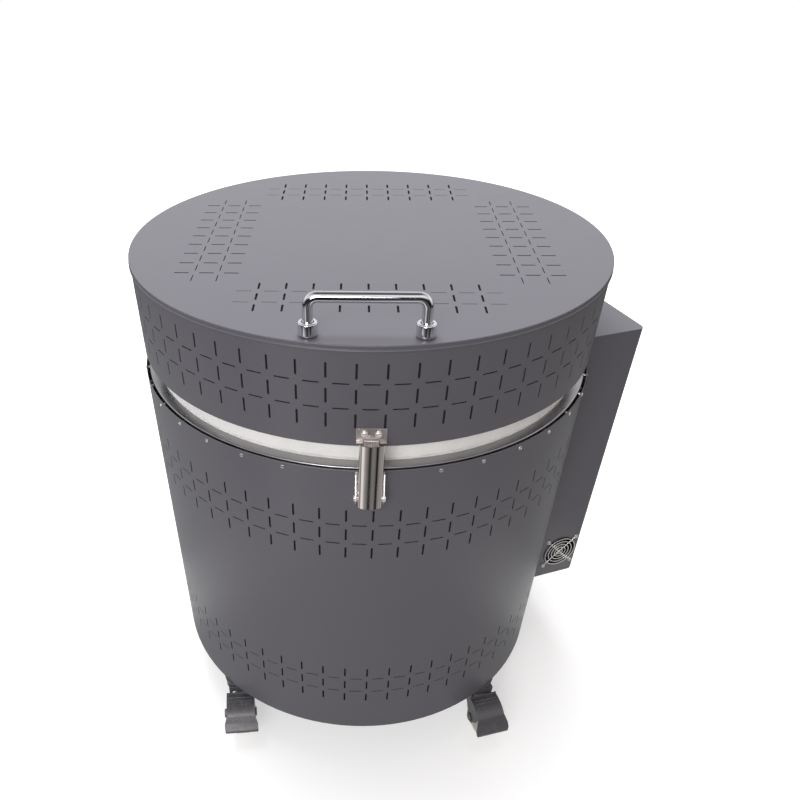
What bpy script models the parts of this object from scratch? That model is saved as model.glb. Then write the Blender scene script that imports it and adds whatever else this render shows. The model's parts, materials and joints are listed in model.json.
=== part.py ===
"""Top-loading electric kiln on casters, with its control box at the rear right.

The kiln's axis is vertical and its latch faces -Y. Metres, +Z up. The origin is
the centre of the whole kiln's box, on the surface that the casters stand on.
"""
import math

import bmesh
import bpy
from mathutils import Matrix, Vector

MM = 0.001

# Fits that the whole kiln shares
SEAT = 0.3 * MM              # gap between pieces that touch
RUNNING = 0.5 * MM           # gap round pins and shafts that turn
OVERRUN = 5.0 * MM           # how far a cutter runs past what it cuts

# Kiln shell
CAP_INSET = 1.5 * MM         # jacket's outside to the lid's
LID_HEIGHT = 109.4 * MM      # lid's painted side and cap
BODY_RADIUS = 282.3 * MM     # painted jacket, outside
BODY_HEIGHT = 455.0 * MM     # jacket, edge to edge
MOUTH_GAP = 27.2 * MM        # jacket's top edge to lid's bottom edge
CASTER_HEIGHT = 87.0 * MM    # floor to the pan
SHEET = 1.2 * MM             # shell's steel sheet
SHELL_STEPS = 48
LINING_STEPS = 32
WELD = 0.001 * SEAT          # distance within which a curve's loose caps are joined

# Lid
CAP_FLANGE = 6.0 * MM
CAP_CORNER = 2.4 * MM
LID_HEM = 11.0 * MM          # return flange at the band's foot, which carries the fibre
PLUG_CLEARANCE = 0.6 * MM    # fibre plug to the hem and to the rim ring
PLUG_CHAMFER = 3.0 * MM

# Rim ring and lining
RING_WIDTH = 12.2 * MM       # flat top of the stainless ring
RING_RISE = 2.3 * MM         # ring's inner edge above the jacket's edge
RING_FALL = 1.6 * MM         # slope of the ring's top
RING_CORNER = 2.6 * MM
RING_SKIRT = 22.0 * MM
RING_SHEET = 1.5 * MM
RING_SIDE_GAP = 1.6 * MM     # dark gap between ring and jacket
LINING_WALL = 100.1 * MM     # fibre wall's thickness
FLOOR_SLAB = 80.0 * MM
FLOOR_REBATE = 12.0 * MM     # step in the slab that the wall stands round
REBATE_GAP = 1.0 * MM
COIL_COUNT = 4
COIL_STEPS = 20
COIL_WIRE = 10.0 * MM        # outside diameter of the wound element
COIL_RECESS = 2.0 * MM       # element's face behind the chamber wall
GROOVE_ROOM = 2.0 * MM       # room round an element in its groove
FIBRE_CLEARANCE = 1.0 * MM   # fibre and pan to the steel round them
COIL_END_GAP = 26.0 * MM     # gap between an element's two ends, at the rear
COIL_MARGIN = 42.0 * MM      # chamber floor or mouth to the nearest element
PROBE_RADIUS = 4.0 * MM
PROBE_REACH = 26.0 * MM      # thermocouple tip inside the chamber

# Base pan, pressed with a raised middle that carries the floor slab
PAN_SHEET = 1.5 * MM
PAN_RIM = 24.0 * MM
PAN_RISE = 17.0 * MM
PAN_LEDGE = 54.1 * MM        # lining's outside to the pan's raised middle
PAN_SLOPE = 12.0 * MM

# Lid handle
HANDLE_PITCH = 108.4 * MM
HANDLE_SHIFT = -2.6 * MM     # its middle, left of the kiln's
HANDLE_BACKSET = 21.4 * MM   # cap's edge to the handle's feet
HANDLE_ROD = 10.4 * MM
HANDLE_AXIS = 36.2 * MM      # bar's axis above the lid
HANDLE_BEND = 9.0 * MM
COLLAR_RADIUS = 9.4 * MM
COLLAR_HEIGHT = 13.0 * MM
COLLAR_CHAMFER = 1.2 * MM

# Latch, on a station turned a little to the right of the front
FRONT_TURN = math.radians(1.1)
LATCH_SHEET = 1.2 * MM
KEEPER_WIDTH = 30.8 * MM
KEEPER_DROP = 87.2 * MM      # lid's top to the keeper's top
KEEPER_HEIGHT = 15.4 * MM
KEEPER_LEDGE = 5.0 * MM
KEEPER_NOTCH = 16.4 * MM
STRAP_WIDTH = 15.2 * MM
STRAP_HOOK = 2.2 * MM        # outward curl at the strap's end
STRAP_END_RISE = 6.0 * MM    # strap's end above the ledge
LEVER_WIDTH = 25.0 * MM
LEVER_LENGTH = 77.0 * MM
LEVER_TAIL = 9.1 * MM        # lever's foot below its pivot
LEVER_CORNER = 4.5 * MM
LEVER_CROWN = 22.0 * MM      # radius of the lever's bowed front
LEVER_SIDE = 11.0 * MM       # depth of the lever's sides at the pivot
LEVER_TIP_SIDE = 7.0 * MM    # and at its free end
LEVER_FRONT = 8.1 * MM       # pivot to the lever's front face
PIVOT_DROP = 25.0 * MM       # jacket's edge to the lever's pivot
PIVOT_STAND = 13.7 * MM      # jacket to the lever's pivot
PIVOT_RADIUS = 2.5 * MM
PIVOT_HEAD = 3.4 * MM
PIVOT_HEAD_THICK = 1.3 * MM
LINK_OUT = 1.6 * MM          # strap's pin from the lever's pivot, outwards
LINK_DROP = 6.0 * MM         # and downwards
LINK_RADIUS = 1.7 * MM
LINK_EYE = 3.5 * MM
BASE_WIDTH = 30.4 * MM
BASE_BELOW = 14.5 * MM       # latch base's foot below the pivot
BASE_EAR = 4.2 * MM          # ear round the pivot
BASE_TOP_GAP = 1.4 * MM      # jacket's edge to the latch base's top

# Lid hinge at the rear
HINGE_STAND = 18.0 * MM      # jacket to the pin's axis
HINGE_RISE = 13.6 * MM       # jacket's edge to the pin's axis
HINGE_SHEET = 3.0 * MM
HINGE_PIN = 4.0 * MM         # radius
HINGE_BARREL = 7.0 * MM      # radius
HINGE_LID_BARREL = 30.0 * MM  # length
HINGE_BODY_BARREL = 20.0 * MM
HINGE_LEAF = 118.0 * MM      # leaf's width round the shell
HINGE_LID_LEAF = 48.0 * MM   # leaf's height
HINGE_BODY_LEAF = 62.0 * MM
HINGE_LEAF_ABOVE = 8.0 * MM  # body leaf above the jacket's edge
HINGE_LEAF_LIFT = 3.0 * MM   # lid leaf above the lid's edge
HINGE_WEB = 6.0 * MM
HINGE_PIN_HEAD = 6.5 * MM
HINGE_PIN_END = 3.0 * MM
HEEL_OUT = 10.0 * MM         # heel that stops the lid, from the pin's axis
HEEL_DOWN = 12.2 * MM
LID_OPENS = math.radians(100)

# Control box, at the rear right
BOX_TURN = math.radians(20.5)
BOX_WIDTH = 236.0 * MM
BOX_DEPTH = 59.2 * MM        # jacket to the box's outer face
BOX_BOTTOM = 136.0 * MM
BOX_TOP = 563.0 * MM
BOX_CORNER = 8.0 * MM
BOX_SHEET = 1.5 * MM
CHASSIS_SHEET = 1.5 * MM
CHASSIS_MARGIN = 14.0 * MM
FAN_SIZE = 60.0 * MM
FAN_DEPTH = 20.0 * MM
FAN_BORE = 28.0 * MM         # radius
FAN_FROM_FACE = 36.5 * MM    # outer face to the fan's axis
FAN_HEIGHT = 185.0 * MM
FAN_HUB = 12.5 * MM
FAN_TIP_GAP = 1.0 * MM
FAN_BLADES = 7
FAN_BLADE_THICK = 1.4 * MM
FAN_BLADE_TWIST = math.radians(38)
FAN_TWIST_SHARES = (1.0, 1.2, 1.4)                   # lean at the root, the middle and the tip
FAN_BLADE_SHARE = 0.8        # blade's depth as a share of the hub's
FAN_MOUNT = 5.0 * MM         # depth of the frame's motor mount
FAN_STRUT = 4.0 * MM
FAN_END_GAP = 1.5 * MM       # rotor to the mount and to the guard's side
SHAFT_RADIUS = 1.6 * MM
GUARD_WIRE = 0.9 * MM        # radius
GUARD_OUTER = 26.5 * MM
GUARD_STEP = 5.0 * MM
GUARD_EAR_PITCH = 50.0 * MM
GUARD_CROSSING_SHARE = 1.2   # rings' axes to the diagonals', in wire radii
GUARD_COUNTS = (14, 14, 12, 10, 10)                  # corners of each ring, from the largest
GUARD_EAR = 3.0 * MM
CONTROLLER_SIZE = 72.0 * MM
CONTROLLER_DROP = 111.0 * MM  # box's top to the controller's middle
CONTROLLER_BEZEL = 8.0 * MM
CONTROLLER_DEPTH = 46.0 * MM
CONTROLLER_WINDOW = 30.0 * MM
KEY_COUNT = 4
KEY_WIDTH = 11.0 * MM
KEY_HEIGHT = 7.0 * MM
KEY_PITCH = 15.0 * MM
KEY_DROP = 24.0 * MM         # controller's centre to its keys
KEY_DEPTH = 5.0 * MM
KEY_PROUD = 1.4 * MM
KEY_TRAVEL = 1.0 * MM
SWITCH_WIDTH = 22.0 * MM
SWITCH_HEIGHT = 30.0 * MM
SWITCH_BEZEL = 2.0 * MM
SWITCH_DEPTH = 24.0 * MM
SWITCH_DROP = 92.0 * MM      # controller's centre to the switch
SWITCH_OFFSET = 24.0 * MM
ROCKER_SWING = math.radians(9)
ROCKER_PROUD = 2.6 * MM
LAMP_RADIUS = 6.0 * MM
LAMP_BEZEL = 8.5 * MM
LAMP_DEPTH = 20.0 * MM
RELAY_WIDTH = 58.0 * MM
RELAY_HEIGHT = 44.0 * MM
RELAY_BLOCK = 22.0 * MM
SINK_FIN = 16.0 * MM
SINK_FINS = 7
SINK_FIN_SHARE = 0.45        # fin's thickness as a share of the fin pitch
SINK_BASE = 5.0 * MM
SINK_HEIGHT = 80.0 * MM
TERMINAL_WIDTH = 90.0 * MM
TERMINAL_HEIGHT = 24.0 * MM
TERMINAL_DEPTH = 18.0 * MM
TERMINAL_WAYS = 6
TERMINAL_RISE = 86.0 * MM    # box's bottom to the terminals
TERMINAL_SLOT_SHARE = 0.62   # share of a way that its recess takes
GLAND_RADIUS = 8.0 * MM
GLAND_BORE = 4.5 * MM
GLAND_NUT = 12.0 * MM
GLAND_NUT_THICK = 5.0 * MM
GLAND_DOME = 14.0 * MM
GLAND_OFFSET = 58.0 * MM

# Casters
CASTER_INSET = 19.3 * MM     # jacket to the circle of the casters' stems
CASTER_TURNS = (-44.0, 44.6, 135.0, -135.0)          # degrees round from the front
CASTER_NAMES = ("front_left", "front_right", "rear_right", "rear_left")
CASTER_YAWS = (7.0, 17.0, 11.0, 4.0)                 # degrees that each wheel trails from -Y
BRAKED = ("front_left", "front_right")
WHEEL_RADIUS = 32.0 * MM
WHEEL_WIDTH = 24.0 * MM
WHEEL_STEPS = 20
WHEEL_CROWN = 3.0 * MM
WHEEL_RECESS = 1.2 * MM      # wheel's sides inside the rim
TRAIL = 34.0 * MM
AXLE_RADIUS = 4.0 * MM
AXLE_HEAD = 7.0 * MM         # hexagon's corner radius
AXLE_HEAD_THICK = 5.5 * MM
FORK_SHEET = 3.0 * MM
FORK_SIDE_GAP = 1.5 * MM     # wheel's side to the cheek
FORK_HEAD = 21.0 * MM        # radius
FORK_HEAD_DEPTH = 12.8 * MM
FORK_EYE = 11.0 * MM
FORK_BRIDGE_SHARE = 0.8      # bridge's depth as a share of the head's
FORK_BACK_SHARE = 0.8        # cheeks' reach behind the swivel, in head radii
FORK_FRONT_SHARE = 0.95      # and ahead of it
CUP_RADIUS = 22.5 * MM
CUP_DEPTH = 8.0 * MM
CUP_DRAFT = 2.4 * MM         # chamfer round the cup's foot
STEM_RADIUS = 6.0 * MM
STEM_NUT = 11.0 * MM
STEM_NUT_THICK = 9.0 * MM
STEM_END = 3.0 * MM
PEDAL_WIDTH = 42.0 * MM
PEDAL_GAP = 1.4 * MM         # pedal's inside to the tread
PEDAL_WALL = 2.6 * MM
PEDAL_SKIRT = 2.5 * MM
PEDAL_BACK = -16.0           # degrees from straight above the axle to the pedal's rear end
PEDAL_CREASE = 46.0          # to the crease where it flares into the foot lip
PEDAL_FRONT = 80.0           # to the end of its rounded inside
PEDAL_LIP_WIDTH = 50.0 * MM
PEDAL_LIP_AHEAD = 40.0 * MM  # axle to the lip's edge
PEDAL_LIP_UP = 10.0 * MM     # lip's top edge above the axle
PEDAL_LIP_THICK = 8.0 * MM
PEDAL_LIP_CORNER = 4.0 * MM
PEDAL_RIBS = 3
PEDAL_RIB = 0.9 * MM
PEDAL_RIB_SHARE = 0.84       # rib's length as a share of the pedal's width
PEDAL_RIB_START = -2.0       # degrees from straight above the axle
PEDAL_RIB_STEP = 9.0
PEDAL_RIDGE = 1.5 * MM       # ridge along the pedal's rear edge
PEDAL_EYE = 9.5 * MM

# Heights above the floor and radii that follow from the sizes above
JACKET_BOTTOM = CASTER_HEIGHT
JACKET_TOP = JACKET_BOTTOM + BODY_HEIGHT
LID_BOTTOM = JACKET_TOP + MOUTH_GAP
LID_TOP = LID_BOTTOM + LID_HEIGHT
CAP_RADIUS = BODY_RADIUS - CAP_INSET
BAND_RADIUS = CAP_RADIUS - SHEET - SEAT
RING_RADIUS = BODY_RADIUS - SHEET - RING_SIDE_GAP
RING_INNER = RING_RADIUS - RING_WIDTH
RING_TOP = JACKET_TOP + RING_RISE
LINING_RADIUS = BODY_RADIUS - SHEET - FIBRE_CLEARANCE
CHAMBER_RADIUS = LINING_RADIUS - LINING_WALL
PAN_RADIUS = LINING_RADIUS - PAN_LEDGE
LINING_NECK = RING_RADIUS - RING_SHEET - FIBRE_CLEARANCE
LINING_TOP = RING_TOP
PLUG_RADIUS = RING_INNER - PLUG_CLEARANCE
PLUG_BOTTOM = LINING_TOP + SEAT
SLAB_BOTTOM = JACKET_BOTTOM + PAN_RISE + SEAT
SLAB_TOP = SLAB_BOTTOM + FLOOR_SLAB
WALL_BOTTOM = SLAB_TOP - FLOOR_REBATE + SEAT
HINGE_Y = BODY_RADIUS + HINGE_STAND
HINGE_Z = JACKET_TOP + HINGE_RISE
PIVOT_RHO = BODY_RADIUS + PIVOT_STAND
PIVOT_Z = JACKET_TOP - PIVOT_DROP
BOX_FACE = BODY_RADIUS + BOX_DEPTH
CONTROLLER_HEIGHT = BOX_TOP - CONTROLLER_DROP
SWITCH_Z = CONTROLLER_HEIGHT - SWITCH_DROP
TERMINAL_Z = BOX_BOTTOM + TERMINAL_RISE
RELAY_Z = (TERMINAL_Z + SWITCH_Z) / 2
CASTER_CIRCLE = BODY_RADIUS - CASTER_INSET
CHASSIS_FRONT = BODY_RADIUS + CHASSIS_SHEET + 3 * SEAT
FORK_HALF = WHEEL_WIDTH / 2 + FORK_SIDE_GAP + FORK_SHEET


# Scene, collections and materials

def fresh_scene():
    for old in list(bpy.data.objects):
        bpy.data.objects.remove(old, do_unlink=True)
    for name in ("kiln", "cutters"):
        old = bpy.data.collections.get(name)
        if old:
            bpy.data.collections.remove(old)
        bpy.context.scene.collection.children.link(bpy.data.collections.new(name))


def material(name, colour, roughness, metallic=0.0):
    made = bpy.data.materials.get(name)
    if made is None:
        made = bpy.data.materials.new(name)
        made.use_nodes = True
        shader = made.node_tree.nodes["Principled BSDF"]
        shader.inputs["Base Color"].default_value = (*colour, 1.0)
        shader.inputs["Roughness"].default_value = roughness
        shader.inputs["Metallic"].default_value = metallic
    return made


def paint():
    return material("grey_paint", (0.13, 0.13, 0.16), 0.5)


def stainless():
    return material("stainless", (0.62, 0.61, 0.6), 0.28, 1.0)


def chrome():
    return material("chrome", (0.75, 0.75, 0.77), 0.08, 1.0)


def zinc():
    return material("zinc_steel", (0.5, 0.5, 0.5), 0.4, 1.0)


def fibre():
    return material("ceramic_fibre", (0.85, 0.83, 0.8), 0.95)


def element_wire():
    return material("element_wire", (0.16, 0.14, 0.13), 0.6, 0.6)


def dark_plastic():
    return material("dark_plastic", (0.06, 0.06, 0.065), 0.45)


def black_plastic():
    return material("black_plastic", (0.02, 0.02, 0.022), 0.5)


def cream_plastic():
    return material("cream_plastic", (0.62, 0.61, 0.5), 0.5)


def red_plastic():
    return material("red_plastic", (0.5, 0.03, 0.02), 0.3)


def key_rubber():
    return material("key_rubber", (0.3, 0.3, 0.32), 0.7)


# General shape functions

def arc(centre_x, centre_y, radius, start, end, count):
    """Points along a circular arc, both ends included; angles in degrees."""
    points = []
    for index in range(count + 1):
        angle = math.radians(start + (end - start) * index / count)
        points.append((centre_x + radius * math.cos(angle), centre_y + radius * math.sin(angle)))
    return points


def hugging_arc(radius, start, end, count):
    """An arc about the kiln's axis whose flats, and not its corners, lie on the radius."""
    return arc(0.0, 0.0, radius / math.cos(math.radians(end - start) / count / 2), start, end, count)


def finish(piece, finish_material, parent, smooth=35.0):
    """Puts a piece in the kiln's collection with its material, shading and parent."""
    for collection in list(piece.users_collection):
        collection.objects.unlink(piece)
    bpy.data.collections["kiln"].objects.link(piece)
    piece.data.materials.clear()
    piece.data.materials.append(finish_material)
    piece.data.shade_smooth()
    piece.data.set_sharp_from_angle(angle=math.radians(smooth))
    piece.parent = parent
    return piece


def put_aside(piece):
    """Makes a piece a hidden cutter or a hidden operand of a union."""
    for collection in list(piece.users_collection):
        collection.objects.unlink(piece)
    bpy.data.collections["cutters"].objects.link(piece)
    piece.hide_render = True
    piece.display_type = "WIRE"
    return piece


def from_bmesh(name, shape):
    data = bpy.data.meshes.new(name)
    shape.to_mesh(data)
    shape.free()
    piece = bpy.data.objects.new(name, data)
    bpy.context.scene.collection.objects.link(piece)
    return piece


def baked(piece, name):
    """The piece as its modifiers leave it, in a new mesh, with loose caps welded."""
    bpy.context.view_layer.update()
    graph = bpy.context.evaluated_depsgraph_get()
    data = bpy.data.meshes.new_from_object(piece.evaluated_get(graph))
    shape = bmesh.new()
    shape.from_mesh(data)
    bmesh.ops.remove_doubles(shape, verts=shape.verts, dist=WELD)
    shape.to_mesh(data)
    shape.free()
    made = bpy.data.objects.new(name, data)
    made.matrix_world = piece.matrix_world.copy()
    bpy.context.scene.collection.objects.link(made)
    bpy.data.objects.remove(piece, do_unlink=True)
    made.name = name
    return made


def turned(name, profile, steps, closed=True):
    """A profile of (radius, height) points, turned about Z. It runs down its outer side."""
    shape = bmesh.new()
    points = [shape.verts.new((radius, 0.0, height)) for radius, height in profile]
    for first, second in zip(points, points[1:]):
        shape.edges.new((first, second))
    if closed:
        shape.edges.new((points[-1], points[0]))
    piece = from_bmesh(name, shape)
    screw = piece.modifiers.new("turn", "SCREW")
    screw.axis = "Z"
    screw.angle = 2 * math.pi
    screw.steps = steps
    screw.render_steps = steps
    screw.use_merge_vertices = True
    screw.merge_threshold = 0.00001
    return baked(piece, name)


def plate(name, outline, thickness):
    """A flat outline in XY, centred on Z = 0, as thick as asked."""
    data = bpy.data.curves.new(name, "CURVE")
    data.dimensions = "2D"
    data.fill_mode = "BOTH"
    data.extrude = thickness / 2
    spline = data.splines.new("POLY")
    spline.points.add(len(outline) - 1)
    for point, (x, y) in zip(spline.points, outline):
        point.co = (x, y, 0.0, 1.0)
    spline.use_cyclic_u = True
    piece = bpy.data.objects.new(name, data)
    bpy.context.scene.collection.objects.link(piece)
    return baked(piece, name)


def tube(name, points, radius, resolution=2, cyclic=False):
    """A round rod or wire along points."""
    data = bpy.data.curves.new(name, "CURVE")
    data.dimensions = "3D"
    data.bevel_depth = radius
    data.bevel_resolution = resolution
    data.use_fill_caps = not cyclic
    spline = data.splines.new("POLY")
    spline.points.add(len(points) - 1)
    for point, place in zip(spline.points, points):
        point.co = (*place, 1.0)
    spline.use_cyclic_u = cyclic
    piece = bpy.data.objects.new(name, data)
    bpy.context.scene.collection.objects.link(piece)
    return baked(piece, name)


def block(name, size, centre=(0.0, 0.0, 0.0)):
    """A box of the given size about a centre."""
    shape = bmesh.new()
    bmesh.ops.create_cube(shape, size=1.0)
    bmesh.ops.scale(shape, vec=Vector(size), verts=shape.verts)
    bmesh.ops.translate(shape, vec=Vector(centre), verts=shape.verts)
    return from_bmesh(name, shape)


def rod(name, radius, length, steps, axis="Z", centre=(0.0, 0.0, 0.0)):
    """A cylinder along X, Y or Z about a centre, with a facet facing down or front."""
    shape = bmesh.new()
    bmesh.ops.create_cone(shape, cap_ends=True, segments=steps, radius1=radius, radius2=radius, depth=length)
    bmesh.ops.rotate(shape, verts=shape.verts, matrix=Matrix.Rotation(math.pi / steps, 3, "Z"))
    if axis == "X":
        bmesh.ops.rotate(shape, verts=shape.verts, matrix=Matrix.Rotation(math.pi / 2, 3, "Y"))
    if axis == "Y":
        bmesh.ops.rotate(shape, verts=shape.verts, matrix=Matrix.Rotation(math.pi / 2, 3, "X"))
    bmesh.ops.translate(shape, vec=Vector(centre), verts=shape.verts)
    return from_bmesh(name, shape)


def turn_mesh(piece, *steps):
    """Turns a piece's mesh by (degrees, axis) steps, or moves it by a vector step."""
    for step in steps:
        if isinstance(step, Vector):
            piece.data.transform(Matrix.Translation(step))
        else:
            degrees, axis = step
            piece.data.transform(Matrix.Rotation(math.radians(degrees), 4, axis))
    return piece


def combine(piece, others, operation, solver="EXACT"):
    """Cuts others from a piece, joins them to it or keeps what they share, and bakes it."""
    for other in others:
        put_aside(other)
        boolean = piece.modifiers.new(operation.lower(), "BOOLEAN")
        boolean.operation = operation
        boolean.solver = solver
        boolean.object = other
    made = baked(piece, piece.name)
    for other in others:
        bpy.data.objects.remove(other, do_unlink=True)
    return made


def cut(piece, *others):
    return combine(piece, others, "DIFFERENCE")


def join(piece, *others):
    return combine(piece, others, "UNION")


def shared(piece, other):
    return combine(piece, [other], "INTERSECT")


def bevelled(piece, width, segments=1, angle=40.0):
    """Rounds or chamfers a piece's sharp edges."""
    bevel = piece.modifiers.new("edges", "BEVEL")
    bevel.width = width
    bevel.segments = segments
    bevel.limit_method = "ANGLE"
    bevel.angle_limit = math.radians(angle)
    return baked(piece, piece.name)


def empty(name, parent=None, place=(0.0, 0.0, 0.0), turn=0.0):
    made = bpy.data.objects.new(name, None)
    bpy.context.scene.collection.objects.link(made)
    made.parent = parent
    made.location = place
    made.rotation_euler = (0.0, 0.0, turn)
    return made


# Lid

def lid_top_plate(parent):
    """Flat pressed cap with a short down-turned flange over the band."""
    inner = CAP_RADIUS - SHEET
    corner_in = CAP_CORNER - SHEET
    profile = [(0.0, LID_TOP)]
    profile += arc(CAP_RADIUS - CAP_CORNER, LID_TOP - CAP_CORNER, CAP_CORNER, 90, 0, 2)
    profile += [(CAP_RADIUS, LID_TOP - CAP_FLANGE), (inner, LID_TOP - CAP_FLANGE)]
    profile += arc(inner - corner_in, LID_TOP - SHEET - corner_in, corner_in, 0, 90, 1)
    profile += [(0.0, LID_TOP - SHEET)]
    piece = turned("lid_top_plate", profile, SHELL_STEPS, closed=False)
    return finish(piece, paint(), parent)


def lid_band(parent):
    """Rolled side of the lid, with a hem turned in at its foot under the fibre."""
    top = LID_TOP - CAP_CORNER - SEAT
    inner = BAND_RADIUS - SHEET
    hem = BAND_RADIUS - LID_HEM
    profile = [(BAND_RADIUS, top), (BAND_RADIUS, LID_BOTTOM), (hem, LID_BOTTOM), (hem, LID_BOTTOM + SHEET),
               (inner, LID_BOTTOM + SHEET), (inner, top)]
    return finish(turned("lid_band", profile, SHELL_STEPS), paint(), parent)


def lid_insulation(parent):
    """Ceramic-fibre block that fills the lid and plugs the mouth."""
    top = LID_TOP - SHEET - 2 * SEAT
    outer = BAND_RADIUS - SHEET - SEAT
    shoulder = LID_BOTTOM + SHEET + SEAT
    profile = [(0.0, top), (outer, top), (outer, shoulder), (PLUG_RADIUS, shoulder),
               (PLUG_RADIUS, PLUG_BOTTOM + PLUG_CHAMFER), (PLUG_RADIUS - PLUG_CHAMFER, PLUG_BOTTOM),
               (0.0, PLUG_BOTTOM)]
    return finish(turned("lid_insulation", profile, SHELL_STEPS, closed=False), fibre(), parent)


def handle(parent):
    """Bent chrome rod on two collars near the lid's front edge."""
    half = HANDLE_PITCH / 2
    front = -(CAP_RADIUS - HANDLE_BACKSET)
    foot = LID_TOP + SEAT
    bend_z = LID_TOP + HANDLE_AXIS - HANDLE_BEND
    left_x = HANDLE_SHIFT - half
    right_x = HANDLE_SHIFT + half
    left = [(x, front, z) for x, z in arc(left_x + HANDLE_BEND, bend_z, HANDLE_BEND, 180, 90, 5)]
    right = [(x, front, z) for x, z in arc(right_x - HANDLE_BEND, bend_z, HANDLE_BEND, 90, 0, 5)]
    points = [(left_x, front, foot)] + left + right + [(right_x, front, foot)]
    finish(tube("handle_bar", points, HANDLE_ROD / 2, 4), chrome(), parent)
    bore = HANDLE_ROD / 2 + SEAT
    top = foot + COLLAR_HEIGHT
    for name, x in (("handle_collar_left", left_x), ("handle_collar_right", right_x)):
        profile = [(bore, top), (COLLAR_RADIUS - COLLAR_CHAMFER, top), (COLLAR_RADIUS, top - COLLAR_CHAMFER),
                   (COLLAR_RADIUS, foot), (bore, foot)]
        collar = turned(name, profile, 16)
        finish(collar, chrome(), parent).location = (x, front, 0.0)


# Latch: pieces are modelled with Y pointing out of the kiln along the latch's station

def latch_keeper(parent):
    """Stainless plate on the lid, its foot bent out into two ledges beside a notch."""
    back = BAND_RADIUS + SEAT
    top = LID_TOP - KEEPER_DROP
    foot = top - KEEPER_HEIGHT
    face = back + LATCH_SHEET
    reach = back + KEEPER_LEDGE
    section = [(back, top), (back, foot), (reach, foot), (reach, foot + LATCH_SHEET),
               (face, foot + LATCH_SHEET), (face, top)]
    piece = plate("latch_keeper", section, KEEPER_WIDTH)
    turn_mesh(piece, (90, "X"), (90, "Z"))
    notch = block("notch", (KEEPER_NOTCH, KEEPER_LEDGE, KEEPER_LEDGE), (0.0, face + KEEPER_LEDGE / 2, foot))
    piece = cut(piece, notch)
    turn_mesh(piece, (180, "Z"))
    return finish(piece, stainless(), parent)


def side_plate(name, outline, width):
    """An outline of (distance out of the kiln, height), as wide as asked across the latch."""
    piece = plate(name, outline, width)
    return turn_mesh(piece, (90, "X"), (90, "Z"), (180, "Z"))


def latch_base(parent):
    """Channel on the jacket whose ears carry the lever on two stub pins."""
    half = BASE_WIDTH / 2
    floor = BODY_RADIUS + SEAT
    top_z = JACKET_TOP - BASE_TOP_GAP
    foot_z = PIVOT_Z - BASE_BELOW
    reach = PIVOT_RHO + BASE_EAR
    middle = (top_z + foot_z) / 2
    depth = reach - floor
    centre_y = -(reach + floor) / 2
    channel = block("latch_base", (BASE_WIDTH, depth, top_z - foot_z), (0.0, centre_y, middle))
    hollow = block("hollow", (BASE_WIDTH - 2 * LATCH_SHEET, depth, top_z - foot_z + OVERRUN),
                   (0.0, centre_y - LATCH_SHEET, middle))
    channel = cut(channel, hollow)
    corner = floor + LATCH_SHEET + BASE_EAR
    outline = [(floor - OVERRUN, foot_z), (corner, foot_z)]
    outline += arc(PIVOT_RHO, PIVOT_Z, BASE_EAR, -60, 60, 6)
    outline += [(corner, top_z), (floor - OVERRUN, top_z)]
    channel = shared(channel, side_plate("ear_form", outline, BASE_WIDTH + OVERRUN))
    stubs = []
    for side in (-1, 1):
        wall = half - LATCH_SHEET
        inner = LEVER_WIDTH / 2 - LATCH_SHEET - SEAT
        stubs.append(rod("stub", PIVOT_RADIUS, wall + LATCH_SHEET / 2 - inner, 12, "X",
                         (side * (wall + LATCH_SHEET / 2 + inner) / 2, -PIVOT_RHO, PIVOT_Z)))
        stubs.append(rod("head", PIVOT_HEAD, PIVOT_HEAD_THICK + LATCH_SHEET / 2, 16, "X",
                         (side * (half + PIVOT_HEAD_THICK / 2 - LATCH_SHEET / 4), -PIVOT_RHO, PIVOT_Z)))
    return finish(join(channel, *stubs), stainless(), parent)


def lever_front(thick):
    """The lever's bowed front and rounded corners seen from its end, right to left, inset by a thickness."""
    corner_x = LEVER_WIDTH / 2 - LEVER_CORNER
    reach = LEVER_CROWN - LEVER_CORNER
    corner_y = math.sqrt(reach * reach - corner_x * corner_x) - LEVER_CROWN
    turn = math.degrees(math.acos(corner_x / reach))
    corner = LEVER_CORNER - thick
    points = arc(corner_x, corner_y, corner, 0, turn, 4)
    points += arc(0.0, -LEVER_CROWN, LEVER_CROWN - thick, turn, 180 - turn, 6)[1:-1]
    return points + arc(-corner_x, corner_y, corner, 180 - turn, 180, 4)


def latch_lever(parent):
    """Polished channel lever; its origin is the pivot, and a cross pin holds the strap."""
    half = LEVER_WIDTH / 2
    tip = LEVER_LENGTH - LEVER_TAIL
    back = LEVER_FRONT - LEVER_SIDE
    outline = [(half, -LEVER_SIDE)] + lever_front(0.0) + [(-half, -LEVER_SIDE), (-half + LATCH_SHEET, -LEVER_SIDE)]
    outline += list(reversed(lever_front(LATCH_SHEET))) + [(half - LATCH_SHEET, -LEVER_SIDE)]
    shell = plate("latch_lever", outline, LEVER_LENGTH)
    turn_mesh(shell, Vector((0.0, LEVER_FRONT, LEVER_LENGTH / 2 - LEVER_TAIL)), (180, "Z"))
    form = [(back, -LEVER_TAIL), (LEVER_FRONT + OVERRUN, -LEVER_TAIL), (LEVER_FRONT + OVERRUN, tip),
            (LEVER_FRONT - LEVER_TIP_SIDE, tip), (LEVER_FRONT - LEVER_TIP_SIDE, tip / 2), (back, PIVOT_HEAD)]
    shell = shared(shell, side_plate("lever_form", form, LEVER_WIDTH + OVERRUN))
    bores = rod("bores", PIVOT_RADIUS + RUNNING, LEVER_WIDTH + OVERRUN, 12, "X")
    shell = cut(shell, bores)
    pin = rod("link_pin", LINK_RADIUS, LEVER_WIDTH - LATCH_SHEET, 12, "X", (0.0, -LINK_OUT, -LINK_DROP))
    return finish(join(shell, pin), stainless(), parent)


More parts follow.
